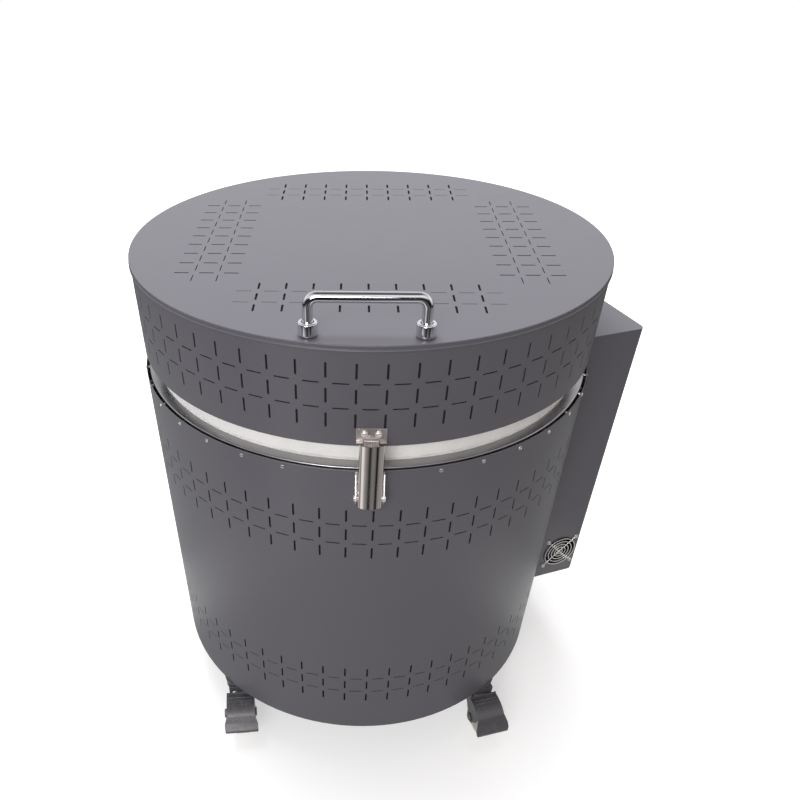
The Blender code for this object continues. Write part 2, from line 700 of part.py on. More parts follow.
def latch_strap(parent):
    """Flat strap from the lever's cross pin to the keeper's notch; its origin is that pin."""
    pin_rho = PIVOT_RHO + LINK_OUT
    pin_z = PIVOT_Z - LINK_DROP
    ledge = LID_TOP - KEEPER_DROP - KEEPER_HEIGHT
    rest = BAND_RADIUS + 2 * SEAT + LATCH_SHEET + KEEPER_LEDGE / 3
    low = Vector((0.0, 0.0))
    knee = Vector((rest - pin_rho, ledge - LATCH_SHEET - pin_z))
    end = Vector((rest - pin_rho, ledge + STRAP_END_RISE - pin_z))
    along = (knee - low).normalized()
    across = Vector((-along.y, along.x)) * LATCH_SHEET / 2
    start = low + along * (LINK_EYE - LATCH_SHEET / 2)
    side = Vector((LATCH_SHEET / 2, 0.0))
    tip = end + Vector((STRAP_HOOK, STRAP_HOOK))
    outline = [start - across, knee + side, end + side, tip + side, tip - side / 2, end - side, knee - side,
               start + across]
    strip = side_plate("latch_strap", [tuple(point) for point in outline], STRAP_WIDTH)
    eye = rod("eye", LINK_EYE, STRAP_WIDTH, 16, "X")
    strip = join(strip, eye)
    bore = rod("eye_bore", LINK_RADIUS + SEAT, STRAP_WIDTH + OVERRUN, 12, "X")
    return finish(cut(strip, bore), stainless(), parent)


def latch(front, lid_front):
    latch_keeper(lid_front)
    latch_base(front)
    pivot = empty("latch_pivot", front, (0.0, -PIVOT_RHO, PIVOT_Z))
    latch_lever(pivot)
    link = empty("latch_link", pivot, (0.0, -LINK_OUT, -LINK_DROP))
    latch_strap(link)


# Hinge

def curved_leaf(name, radius, bottom, height):
    """A plate formed to the shell's curve, centred on the rear."""
    spread = math.degrees(HINGE_LEAF / radius) / 2
    outline = hugging_arc(radius + HINGE_SHEET, 90 - spread, 90 + spread, 6)
    outline += hugging_arc(radius, 90 + spread, 90 - spread, 6)
    piece = plate(name, outline, height)
    return turn_mesh(piece, Vector((0.0, 0.0, bottom + height / 2)))


def web(name, outline, centre_x, width):
    """A gusset: an outline of (Y, Z) as wide as asked about an X."""
    piece = plate(name, outline, width)
    return turn_mesh(piece, (90, "X"), (90, "Z"), Vector((centre_x, 0.0, 0.0)))


def lid_hinge_leaf(parent):
    """Leaf on the lid's band, with the middle barrel and the heel that stops the lid."""
    radius = BAND_RADIUS + SEAT
    bottom = LID_BOTTOM + HINGE_LEAF_LIFT
    leaf = curved_leaf("lid_hinge_leaf", radius, bottom, HINGE_LID_LEAF)
    inside = radius + HINGE_SHEET / 2
    pieces = []
    for side in (-1, 1):
        outline = [(inside, bottom), (HINGE_Y - HINGE_BARREL / 2, HINGE_Z),
                   (HINGE_Y + HINGE_BARREL / 2, HINGE_Z + HINGE_BARREL / 2),
                   (inside, bottom + HINGE_LID_LEAF / 2)]
        pieces.append(web("web", outline, side * (HINGE_LID_BARREL - HINGE_WEB) / 2, HINGE_WEB))
    pieces.append(rod("barrel", HINGE_BARREL, HINGE_LID_BARREL, 16, "X", (0.0, HINGE_Y, HINGE_Z)))
    heel = [(HINGE_Y, HINGE_Z + HINGE_BARREL / 2), (HINGE_Y, HINGE_Z - HINGE_BARREL / 2),
            (HINGE_Y + HEEL_OUT - HINGE_WEB, HINGE_Z - HEEL_DOWN), (HINGE_Y + HEEL_OUT, HINGE_Z - HEEL_DOWN),
            (HINGE_Y + HEEL_OUT, HINGE_Z)]
    pieces.append(web("heel", heel, 0.0, HINGE_LID_BARREL - 2 * HINGE_WEB))
    leaf = join(leaf, *pieces)
    bore = rod("bore", HINGE_PIN + SEAT / 3, HINGE_LID_BARREL + OVERRUN, 16, "X", (0.0, HINGE_Y, HINGE_Z))
    return finish(cut(leaf, bore), zinc(), parent)


def body_hinge_leaf(parent):
    """Leaf on the jacket, with the two outer barrels."""
    radius = BODY_RADIUS + SEAT
    top = JACKET_TOP + HINGE_LEAF_ABOVE
    leaf = curved_leaf("body_hinge_leaf", radius, top - HINGE_BODY_LEAF, HINGE_BODY_LEAF)
    inside = radius + HINGE_SHEET / 2
    pieces = []
    first = HINGE_LID_BARREL / 2 + RUNNING
    for side in (-1, 1):
        centre = side * (first + HINGE_BODY_BARREL / 2)
        pieces.append(rod("barrel", HINGE_BARREL, HINGE_BODY_BARREL, 16, "X", (centre, HINGE_Y, HINGE_Z)))
        outline = [(inside, top), (HINGE_Y - HINGE_BARREL / 2, HINGE_Z),
                   (HINGE_Y + HINGE_BARREL / 2, HINGE_Z - HINGE_BARREL / 2),
                   (inside, top - HINGE_BODY_LEAF * 2 / 3)]
        pieces.append(web("web", list(reversed(outline)), centre, HINGE_WEB))
    leaf = join(leaf, *pieces)
    length = 2 * (first + HINGE_BODY_BARREL) + OVERRUN
    bore = rod("bore", HINGE_PIN + SEAT / 3, length, 16, "X", (0.0, HINGE_Y, HINGE_Z))
    return finish(cut(leaf, bore), zinc(), parent)


def hinge_pin(parent):
    """Pin with a turned head at each end."""
    half = HINGE_LID_BARREL / 2 + RUNNING + HINGE_BODY_BARREL + SEAT
    end = half + HINGE_PIN_END
    profile = [(0.0, end), (HINGE_PIN_HEAD, end), (HINGE_PIN_HEAD, half), (HINGE_PIN, half),
               (HINGE_PIN, -half), (HINGE_PIN_HEAD, -half), (HINGE_PIN_HEAD, -end), (0.0, -end)]
    pin = turned("hinge_pin", profile, 16, closed=False)
    turn_mesh(pin, (90, "Y"))
    finish(pin, zinc(), parent).location = (0.0, HINGE_Y, HINGE_Z)


# Body shell, lining and elements

def body_jacket(parent):
    """Rolled painted jacket, open top and bottom."""
    inner = BODY_RADIUS - SHEET
    profile = [(BODY_RADIUS, JACKET_TOP), (BODY_RADIUS, JACKET_BOTTOM),
               (inner, JACKET_BOTTOM), (inner, JACKET_TOP)]
    return finish(turned("body_jacket", profile, SHELL_STEPS), paint(), parent)


def rim_ring(parent):
    """Stainless ring round the mouth: a sloped flange with a rounded corner and a skirt."""
    outer_top = RING_TOP - RING_FALL
    corner = RING_CORNER
    inner_corner = corner - RING_SHEET
    skirt = RING_TOP - RING_SKIRT
    profile = [(RING_INNER, RING_TOP)]
    profile += arc(RING_RADIUS - corner, outer_top - corner, corner, 90, 0, 2)
    profile += [(RING_RADIUS, skirt), (RING_RADIUS - RING_SHEET, skirt)]
    profile += arc(RING_RADIUS - corner, outer_top - corner, inner_corner, 0, 90, 1)
    profile += [(RING_INNER, RING_TOP - RING_SHEET)]
    return finish(turned("rim_ring", profile, SHELL_STEPS), stainless(), parent)


def coil_heights():
    low = SLAB_TOP + COIL_MARGIN
    high = LINING_TOP - COIL_MARGIN
    return [low + (high - low) * index / (COIL_COUNT - 1) for index in range(COIL_COUNT)]


def insulation_wall(parent):
    """Fibre lining with a groove for each element and a shoulder under the rim ring."""
    ledge = RING_TOP - RING_FALL - RING_CORNER - SEAT
    half = COIL_WIRE / 2 + GROOVE_ROOM
    depth = CHAMBER_RADIUS + COIL_RECESS + COIL_WIRE + GROOVE_ROOM
    neck_end = RING_TOP - RING_SKIRT - SEAT
    profile = [(RING_INNER - FIBRE_CLEARANCE, LINING_TOP), (RING_INNER - FIBRE_CLEARANCE, ledge),
               (LINING_NECK, ledge), (LINING_NECK, neck_end), (LINING_RADIUS, neck_end),
               (LINING_RADIUS, WALL_BOTTOM), (CHAMBER_RADIUS, WALL_BOTTOM)]
    for height in coil_heights():
        profile += [(CHAMBER_RADIUS, height - half), (depth, height - half),
                    (depth, height + half), (CHAMBER_RADIUS, height + half)]
    profile += [(CHAMBER_RADIUS, LINING_TOP)]
    wall = turned("insulation_wall", profile, LINING_STEPS)
    reach = LINING_RADIUS - CHAMBER_RADIUS
    bore = rod("bore", PROBE_RADIUS + SEAT, reach + 2 * OVERRUN, 12, "X")
    bore.matrix_world = Matrix.Rotation(BOX_TURN, 4, "Z") @ Matrix.Translation(
        (CHAMBER_RADIUS + reach / 2, 0.0, probe_height()))
    return finish(cut(wall, bore), fibre(), parent)


def probe_height():
    heights = coil_heights()
    return (heights[-1] + heights[-2]) / 2


def insulation_floor(parent):
    """Round fibre slab inside the pan's rim; its rebate keeps the wall round the chamber's floor."""
    radius = LINING_RADIUS - PAN_SHEET - SEAT
    plug = CHAMBER_RADIUS - REBATE_GAP
    ledge = SLAB_TOP - FLOOR_REBATE
    profile = [(0.0, SLAB_TOP), (plug, SLAB_TOP), (plug, ledge), (radius, ledge), (radius, SLAB_BOTTOM),
               (0.0, SLAB_BOTTOM)]
    return finish(turned("insulation_floor", profile, LINING_STEPS, closed=False), fibre(), parent)


def heating_coils(parent):
    """Wound elements as plain rings with a gap at the rear; they lie on their grooves' floor."""
    radius = CHAMBER_RADIUS + COIL_RECESS + COIL_WIRE / 2
    open_angle = math.degrees(COIL_END_GAP / radius) / 2
    drop = GROOVE_ROOM - SEAT
    for index, height in enumerate(coil_heights()):
        ends = (90 + open_angle, 450 - open_angle)
        points = [(x, y, height - drop) for x, y in arc(0.0, 0.0, radius, *ends, COIL_STEPS)]
        ring = tube("heating_coil_%d" % (index + 1), points, COIL_WIRE / 2, 1)
        finish(ring, element_wire(), parent)


def thermocouple(parent):
    """Ceramic-sheathed probe through the lining, towards the control box."""
    tip = CHAMBER_RADIUS - PROBE_REACH
    outside = LINING_RADIUS + SEAT
    profile = [(0.0, -tip), (PROBE_RADIUS, -tip - PROBE_RADIUS / 2), (PROBE_RADIUS, -outside),
               (0.0, -outside)]
    probe = turned("thermocouple", profile, 12, closed=False)
    turn_mesh(probe, (-90, "Y"))
    finish(probe, fibre(), parent)
    probe.location = (0.0, 0.0, probe_height())
    probe.rotation_euler = (0.0, 0.0, BOX_TURN)


def base_pan(parent):
    """Pressed pan: its raised middle carries the floor slab, and its rim stands in the jacket."""
    low = JACKET_BOTTOM
    high = low + PAN_RISE
    outer = LINING_RADIUS
    top = [(0.0, high), (PAN_RADIUS, high), (PAN_RADIUS + PAN_SLOPE, low + PAN_SHEET),
           (outer - PAN_SHEET, low + PAN_SHEET), (outer - PAN_SHEET, low + PAN_RIM)]
    under = [(outer, low + PAN_RIM), (outer, low), (PAN_RADIUS + PAN_SLOPE - PAN_SHEET, low),
             (PAN_RADIUS - PAN_SHEET, high - PAN_SHEET), (0.0, high - PAN_SHEET)]
    pan = turned("base_pan", top + under, LINING_STEPS, closed=False)
    holes = []
    for turn in CASTER_TURNS:
        x, y = caster_place(turn)
        holes.append(rod("stem_hole", STEM_RADIUS + SEAT, PAN_SHEET + OVERRUN, 16, "Z", (x, y, low)))
    return finish(cut(pan, *holes), paint(), parent)


# Control box, modelled with X pointing out of the kiln along its station

def box_outline(inset, back):
    """Plan of the box's outside, moved in by inset; its kiln side is an arc of radius back."""
    half = BOX_WIDTH / 2 - inset
    face = BOX_FACE - inset
    corner = BOX_CORNER - inset
    spread = math.degrees(math.asin(half / back))
    outline = arc(face - corner, -half + corner, corner, -90, 0, 4)
    outline += arc(face - corner, half - corner, corner, 0, 90, 4)
    return outline + hugging_arc(back, spread, -spread, 8)


def control_cover(station):
    """Folded cover with rounded upright corners, open towards the kiln."""
    height = BOX_TOP - BOX_BOTTOM
    middle = (BOX_TOP + BOX_BOTTOM) / 2
    cover = plate("control_cover", box_outline(0.0, BODY_RADIUS + SEAT), height)
    turn_mesh(cover, Vector((0.0, 0.0, middle)))
    inside = plate("inside", box_outline(BOX_SHEET, BODY_RADIUS - OVERRUN), height - 2 * BOX_SHEET)
    turn_mesh(inside, Vector((0.0, 0.0, middle)))
    cover = cut(cover, inside)
    side = -BOX_WIDTH / 2
    fan_x = BOX_FACE - FAN_FROM_FACE
    cutters = [rod("fan_hole", FAN_BORE, BOX_SHEET + OVERRUN, 24, "Y", (fan_x, side, FAN_HEIGHT))]
    opening = CONTROLLER_SIZE - 2 * BOX_SHEET + 2 * SEAT
    cutters.append(block("controller_hole", (OVERRUN, opening, opening), (BOX_FACE, 0.0, CONTROLLER_HEIGHT)))
    cutters.append(block("switch_hole", (OVERRUN, SWITCH_WIDTH + 2 * SEAT, SWITCH_HEIGHT + 2 * SEAT),
                         (BOX_FACE, -SWITCH_OFFSET, SWITCH_Z)))
    lamp_place = (BOX_FACE, SWITCH_OFFSET, SWITCH_Z)
    cutters.append(rod("lamp_hole", LAMP_RADIUS + SEAT, OVERRUN, 16, "X", lamp_place))
    gland_place = (fan_x, GLAND_OFFSET, BOX_BOTTOM)
    cutters.append(rod("gland_hole", GLAND_RADIUS + SEAT, OVERRUN, 16, "Z", gland_place))
    return finish(cut(cover, *cutters), paint(), station)


def control_chassis(station):
    """Curved sheet on the jacket that carries the relay and the terminals."""
    half = BOX_WIDTH / 2 - CHASSIS_MARGIN
    radius = BODY_RADIUS + SEAT
    spread = math.degrees(math.asin(half / radius))
    outline = hugging_arc(radius + CHASSIS_SHEET, -spread, spread, 8)
    outline += hugging_arc(radius, spread, -spread, 8)
    top = min(BOX_TOP, JACKET_TOP) - CHASSIS_MARGIN
    bottom = BOX_BOTTOM + CHASSIS_MARGIN
    piece = plate("control_chassis", outline, top - bottom)
    turn_mesh(piece, Vector((0.0, 0.0, (top + bottom) / 2)))
    return finish(piece, zinc(), station)


def relay(station):
    """Finned heat sink on the chassis with the solid-state relay on its face."""
    back = CHASSIS_FRONT
    pitch = RELAY_WIDTH / SINK_FINS
    depth = SINK_BASE + SINK_FIN
    sink = block("relay_heat_sink", (SINK_BASE, RELAY_WIDTH, SINK_HEIGHT),
                 (back + SINK_FIN + SINK_BASE / 2, 0.0, RELAY_Z))
    fins = []
    for index in range(SINK_FINS):
        y = (index + 0.5) * pitch - RELAY_WIDTH / 2
        fins.append(block("fin", (SINK_FIN + SINK_BASE / 2, pitch * SINK_FIN_SHARE, SINK_HEIGHT),
                          (back + (SINK_FIN + SINK_BASE / 2) / 2, y, RELAY_Z)))
    finish(join(sink, *fins), zinc(), station)
    front = back + depth + SEAT
    room = BOX_FACE - BOX_SHEET - front
    thickness = min(RELAY_BLOCK, room - RELAY_BLOCK / 2)
    piece = block("solid_state_relay", (thickness, RELAY_HEIGHT, RELAY_WIDTH),
                  (front + thickness / 2, 0.0, RELAY_Z))
    finish(bevelled(piece, SINK_BASE / 4), black_plastic(), station)


def terminal_block(station):
    """Moulded terminal strip on the chassis, with a recess for each way."""
    back = CHASSIS_FRONT
    centre = back + TERMINAL_DEPTH / 2
    strip = block("terminal_block", (TERMINAL_DEPTH, TERMINAL_WIDTH, TERMINAL_HEIGHT),
                  (centre, 0.0, TERMINAL_Z))
    pitch = TERMINAL_WIDTH / TERMINAL_WAYS
    recess = (TERMINAL_DEPTH, pitch * TERMINAL_SLOT_SHARE, TERMINAL_HEIGHT * TERMINAL_SLOT_SHARE)
    recess_x = centre + TERMINAL_DEPTH * TERMINAL_SLOT_SHARE
    recesses = []
    for index in range(TERMINAL_WAYS):
        y = (index + 0.5) * pitch - TERMINAL_WIDTH / 2
        recesses.append(block("recess", recess, (recess_x, y, TERMINAL_Z)))
    finish(cut(strip, *recesses), cream_plastic(), station)


def temperature_controller(station):
    """Panel controller: bezel, sunk window and a case behind the panel; its keys slide in."""
    face = BOX_FACE + SEAT
    size = CONTROLLER_SIZE
    case = size - 2 * BOX_SHEET
    body = block("temperature_controller", (CONTROLLER_BEZEL, size, size),
                 (face + CONTROLLER_BEZEL / 2, 0.0, CONTROLLER_HEIGHT))
    body = bevelled(body, CONTROLLER_BEZEL / 5, 2)
    rear = block("case", (CONTROLLER_DEPTH + CONTROLLER_BEZEL / 2, case, case),
                 (face - CONTROLLER_DEPTH / 2 + CONTROLLER_BEZEL / 4, 0.0, CONTROLLER_HEIGHT))
    body = join(body, rear)
    front = face + CONTROLLER_BEZEL
    cutters = [block("window", (KEY_PROUD, size - 2 * CONTROLLER_BEZEL, CONTROLLER_WINDOW),
                     (front, 0.0, CONTROLLER_HEIGHT + CONTROLLER_BEZEL))]
    pocket = KEY_DEPTH - KEY_PROUD + KEY_TRAVEL + SEAT
    for y in key_places():
        cutters.append(block("key_pocket", (2 * pocket, KEY_WIDTH + 2 * SEAT, KEY_HEIGHT + 2 * SEAT),
                             (front, y, CONTROLLER_HEIGHT - KEY_DROP)))
    finish(cut(body, *cutters), black_plastic(), station)
    for index, y in enumerate(key_places()):
        key = block("controller_key_%d" % (index + 1), (KEY_DEPTH, KEY_WIDTH, KEY_HEIGHT),
                    (KEY_PROUD - KEY_DEPTH / 2, 0.0, 0.0))
        key = finish(bevelled(key, KEY_PROUD / 3), key_rubber(), station)
        key.location = (front, y, CONTROLLER_HEIGHT - KEY_DROP)


def key_places():
    return [(index - (KEY_COUNT - 1) / 2) * KEY_PITCH for index in range(KEY_COUNT)]


def power_switch(station):
    """Rocker switch in the outer face, its rocker tilted to off about an axis in the bezel."""
    face = BOX_FACE + SEAT
    lip = 2 * SWITCH_BEZEL
    bezel = block("power_switch", (SWITCH_BEZEL, SWITCH_WIDTH + 2 * lip, SWITCH_HEIGHT + 2 * lip),
                  (face + SWITCH_BEZEL / 2, 0.0, 0.0))
    case = block("case", (SWITCH_DEPTH, SWITCH_WIDTH, SWITCH_HEIGHT),
                 (face - SWITCH_DEPTH / 2 + SWITCH_BEZEL / 2, 0.0, 0.0))
    frame = join(bezel, case)
    wall = SWITCH_BEZEL
    well = SWITCH_DEPTH / 2
    hollow = block("well", (2 * well, SWITCH_WIDTH - 2 * wall, SWITCH_HEIGHT - 2 * wall),
                   (face + SWITCH_BEZEL, 0.0, 0.0))
    frame = cut(frame, hollow)
    finish(frame, black_plastic(), station).location = (0.0, -SWITCH_OFFSET, SWITCH_Z)
    half = SWITCH_HEIGHT / 2 - wall - RUNNING
    reach = half / math.cos(ROCKER_SWING)
    rise = SWITCH_BEZEL / 2 + ROCKER_PROUD
    deep = well / 2
    tip = (half * math.sin(ROCKER_SWING), half * math.cos(ROCKER_SWING))
    outline = [(rise + tip[0], tip[1]), (0.0, reach - ROCKER_PROUD), (-deep, half / 2), (-deep, -half / 2),
               (0.0, -reach + ROCKER_PROUD), (rise + tip[0], -tip[1]), (rise / 2, 0.0)]
    rocker = plate("power_rocker", outline, SWITCH_WIDTH - 2 * wall - 2 * RUNNING)
    turn_mesh(rocker, (90, "X"), (math.degrees(ROCKER_SWING), "Y"))
    pivot = empty("rocker_pivot", station, (face + SWITCH_BEZEL / 2, -SWITCH_OFFSET, SWITCH_Z))
    finish(rocker, red_plastic(), pivot)


def pilot_lamp(station):
    """Round indicator with a domed lens."""
    profile = arc(0.0, 0.0, LAMP_RADIUS, 90, 30, 3)
    bezel_z = profile[-1][1]
    profile += [(LAMP_BEZEL, bezel_z), (LAMP_BEZEL, SEAT), (LAMP_RADIUS, SEAT), (LAMP_RADIUS, -LAMP_DEPTH),
                (0.0, -LAMP_DEPTH)]
    lamp = turned("pilot_lamp", [(0.0, LAMP_RADIUS)] + profile[1:], 12, closed=False)
    turn_mesh(lamp, (90, "Y"))
    finish(lamp, red_plastic(), station).location = (BOX_FACE, SWITCH_OFFSET, SWITCH_Z)


def cable_gland(station):
    """Supply cable's gland through the box's floor, with its bore left open."""
    below = -BOX_SHEET
    profile = [(GLAND_BORE, GLAND_NUT_THICK + SEAT), (GLAND_RADIUS, GLAND_NUT_THICK + SEAT),
               (GLAND_RADIUS, below - SEAT), (GLAND_NUT, below - SEAT),
               (GLAND_NUT, below - SEAT - GLAND_NUT_THICK),
               (GLAND_RADIUS, below - SEAT - GLAND_NUT_THICK), (GLAND_RADIUS, below - GLAND_DOME / 2),
               (GLAND_BORE + BOX_SHEET, below - GLAND_DOME), (GLAND_BORE, below - GLAND_DOME)]
    gland = turned("cable_gland", profile, 12)
    fan_x = BOX_FACE - FAN_FROM_FACE
    finish(gland, black_plastic(), station).location = (fan_x, GLAND_OFFSET, BOX_BOTTOM + BOX_SHEET)


# Cooling fan: modelled with Y along its axis, its outer side towards -Y

def fan_frame(parent):
    """Square frame with a round duct and a motor mount on three struts."""
    frame = block("fan_frame", (FAN_SIZE, FAN_DEPTH, FAN_SIZE), (0.0, FAN_DEPTH / 2, 0.0))
    frame = cut(frame, rod("duct", FAN_BORE, FAN_DEPTH + 2 * OVERRUN, 24, "Y", (0.0, FAN_DEPTH / 2, 0.0)))
    mount_y = FAN_DEPTH - FAN_MOUNT / 2
    span = FAN_BORE + FAN_STRUT / 2
    pieces = [rod("mount", FAN_HUB, FAN_MOUNT, 16, "Y", (0.0, mount_y, 0.0))]
    for index in range(3):
        strut = block("strut", (span, FAN_MOUNT, FAN_STRUT), (span / 2, mount_y, 0.0))
        pieces.append(turn_mesh(strut, (120 * index + 30, "Y")))
    length = FAN_DEPTH / 2
    shaft_y = FAN_DEPTH - FAN_MOUNT - length / 2 + SHAFT_RADIUS
    pieces.append(rod("shaft", SHAFT_RADIUS, length, 10, "Y", (0.0, shaft_y, 0.0)))
    return finish(join(frame, *pieces), black_plastic(), parent)


def blade(name, root, tip, depth):
    """A twisted blade between two radii, each section a thin slanted strip."""
    shape = bmesh.new()
    rows = []
    half = depth / 2
    thick = FAN_BLADE_THICK / 2
    for radius, twist_share in zip((root, (root + tip) / 2, tip), FAN_TWIST_SHARES):
        across = half * math.tan(FAN_BLADE_TWIST * twist_share)
        corners = [(-across - thick, -half), (-across + thick, -half), (across + thick, half),
                   (across - thick, half)]
        rows.append([shape.verts.new((x, y, math.sqrt(radius * radius - x * x))) for x, y in corners])
    for low, high in zip(rows, rows[1:]):
        for index in range(4):
            follow = (index + 1) % 4
            shape.faces.new((low[index], low[follow], high[follow], high[index]))
    shape.faces.new(list(reversed(rows[0])))
    shape.faces.new(rows[-1])
    bmesh.ops.recalc_face_normals(shape, faces=shape.faces)
    return from_bmesh(name, shape)


def fan_rotor(parent):
    """Hub with twisted blades, on the frame's shaft."""
    depth = FAN_DEPTH - FAN_MOUNT - 2 * FAN_END_GAP
    middle = FAN_END_GAP + depth / 2
    hub = rod("fan_rotor", FAN_HUB, depth, 20, "Y", (0.0, middle, 0.0))
    blades = []
    for index in range(FAN_BLADES):
        piece = blade("blade", FAN_HUB - FAN_BLADE_THICK, FAN_BORE - FAN_TIP_GAP, depth * FAN_BLADE_SHARE)
        turn_mesh(piece, Vector((0.0, middle, 0.0)), (360 * index / FAN_BLADES, "Y"))
        blades.append(piece)
    rotor = join(hub, *blades)
    reach = FAN_DEPTH / 2 + OVERRUN
    start = FAN_DEPTH / 2 - FAN_MOUNT + SHAFT_RADIUS - RUNNING
    bore = rod("shaft_bore", SHAFT_RADIUS + RUNNING, reach, 10, "Y", (0.0, start + reach / 2, 0.0))
    return finish(cut(rotor, bore), black_plastic(), parent)


def fan_guard(parent):
    """Wire finger guard: rings welded to two diagonal wires that end in screw eyes."""
    wire = GUARD_WIRE
    reach = GUARD_EAR_PITCH / 2
    crossing = -GUARD_CROSSING_SHARE * wire
    pieces = []
    for index, count in enumerate(GUARD_COUNTS):
        radius = GUARD_OUTER - index * GUARD_STEP
        start = 180 / count
        points = [(x, crossing, z) for x, z in arc(0.0, 0.0, radius, start, start + 360, count)[:-1]]
        pieces.append(tube("ring", points, wire, 0, cyclic=True))
    for side in (-1, 1):
        level = 0.0 if side > 0 else crossing / 5
        inner = reach - GUARD_EAR / math.sqrt(2)
        points = [(-inner * side, level, -inner), (inner * side, level, inner)]
        pieces.append(tube("diagonal", points, wire, 0))
        for end in (-1, 1):
            points = [(end * reach * side + x, level, end * reach + z)
                      for x, z in arc(0.0, 0.0, GUARD_EAR, 20, 380, 6)[:-1]]
            pieces.append(tube("eye", points, wire, 0, cyclic=True))
    guard = combine(pieces[0], pieces[1:], "UNION", "MANIFOLD")
    guard.name = "fan_guard"
    return finish(guard, chrome(), parent)


def fan(station):
    inner_face = -BOX_WIDTH / 2 + BOX_SHEET + 2 * SEAT
    place = (BOX_FACE - FAN_FROM_FACE, inner_face, FAN_HEIGHT)
    seat = empty("fan_seat", station, place)
    fan_frame(seat)
    fan_rotor(seat)
    outside = -BOX_SHEET - 3 * SEAT - GUARD_WIRE
    guard_seat = empty("guard_seat", seat, (0.0, outside, 0.0))
    fan_guard(guard_seat)


# Casters: each is modelled with its wheel trailing towards -Y from the swivel

def caster_place(turn):
    angle = math.radians(turn) + FRONT_TURN
    return CASTER_CIRCLE * math.sin(angle), -CASTER_CIRCLE * math.cos(angle)


def caster_stem(tag, mount):
    """Swivel cup with its threaded stem through the pan, and the stem's nut."""
    top = CASTER_HEIGHT - SEAT
    pan_top = JACKET_BOTTOM + PAN_SHEET + SEAT
    nut_top = pan_top + STEM_NUT_THICK
    foot = top - CUP_DEPTH
    tip = nut_top + STEM_END
    cup = [(0.0, tip), (STEM_RADIUS, tip), (STEM_RADIUS, top), (CUP_RADIUS, top),
           (CUP_RADIUS, foot + CUP_DRAFT), (CUP_RADIUS - CUP_DRAFT, foot), (0.0, foot)]
    body = turned("caster_stem_" + tag, cup, 12, closed=False)
    nut = rod("nut", STEM_NUT, STEM_NUT_THICK, 6, "Z", (0.0, 0.0, pan_top + STEM_NUT_THICK / 2))
    finish(join(body, nut), dark_plastic(), mount)


def caster_fork(tag, swivel):
    """Swivel head and two cheeks that narrow down to the axle."""
    head_top = CASTER_HEIGHT - SEAT - CUP_DEPTH - SEAT
    head_low = head_top - FORK_HEAD_DEPTH
    middle = (head_top + head_low) / 2
    head = rod("caster_fork_" + tag, FORK_HEAD, FORK_HEAD_DEPTH, 12, "Z", (0.0, 0.0, middle))
    bridge_depth = FORK_HEAD_DEPTH * FORK_BRIDGE_SHARE
    bridge = block("bridge", (2 * FORK_HALF, FORK_HEAD, bridge_depth),
                   (0.0, -FORK_HEAD / 2, head_top - bridge_depth / 2))
    back = FORK_HEAD * FORK_BACK_SHARE
    front = -FORK_HEAD * FORK_FRONT_SHARE
    outline = [(back, head_top), (back, head_low)]
    outline += [(-y, z) for y, z in arc(TRAIL, WHEEL_RADIUS, FORK_EYE, 215, 385, 6)]
    outline += [(front, head_low), (front, head_top)]
    cheeks = []
    for side in (-1, 1):
        cheek = plate("cheek", outline, FORK_SHEET)
        turn_mesh(cheek, (90, "X"), (90, "Z"), Vector((side * (FORK_HALF - FORK_SHEET / 2), 0.0, 0.0)))
        cheeks.append(cheek)
    fork = join(head, bridge, *cheeks)
    bore = rod("axle_bore", AXLE_RADIUS + SEAT, 2 * FORK_HALF + OVERRUN, 12, "X", (0.0, -TRAIL, WHEEL_RADIUS))
    finish(cut(fork, bore), dark_plastic(), swivel)


def caster_wheel(tag, axle):
    """Nylon wheel, chamfered at its edges, with sunk sides; a flat facet meets the floor."""
    half = WHEEL_WIDTH / 2
    bore = AXLE_RADIUS + SEAT
    rim = WHEEL_RADIUS - WHEEL_CROWN * 2
    web_face = half - WHEEL_RECESS
    tread = WHEEL_RADIUS / math.cos(math.pi / WHEEL_STEPS)
    side = [(tread, half - WHEEL_CROWN), (tread - WHEEL_CROWN, half), (rim, half),
            (rim - WHEEL_RECESS, web_face), (bore, web_face)]
    profile = list(reversed(side)) + [(radius, -x) for radius, x in side]
    wheel = turned("caster_wheel_" + tag, profile, WHEEL_STEPS)
    turn_mesh(wheel, (180 / WHEEL_STEPS, "Z"), (90, "Y"))
    finish(wheel, cream_plastic(), axle, 30.0)


def caster_axle(tag, axle):
    """Axle bolt with a hexagon head on the left and a nut on the right."""
    braked = tag in BRAKED
    half = (PEDAL_WIDTH / 2 if braked else FORK_HALF) + SEAT
    shank = rod("caster_axle_" + tag, AXLE_RADIUS, 2 * half + AXLE_HEAD_THICK, 12, "X")
    head_x = half + AXLE_HEAD_THICK / 2
    ends = [rod("hexagon", AXLE_HEAD, AXLE_HEAD_THICK, 6, "X", (side * head_x, 0.0, 0.0)) for side in (-1, 1)]
    finish(join(shank, *ends), zinc(), axle)


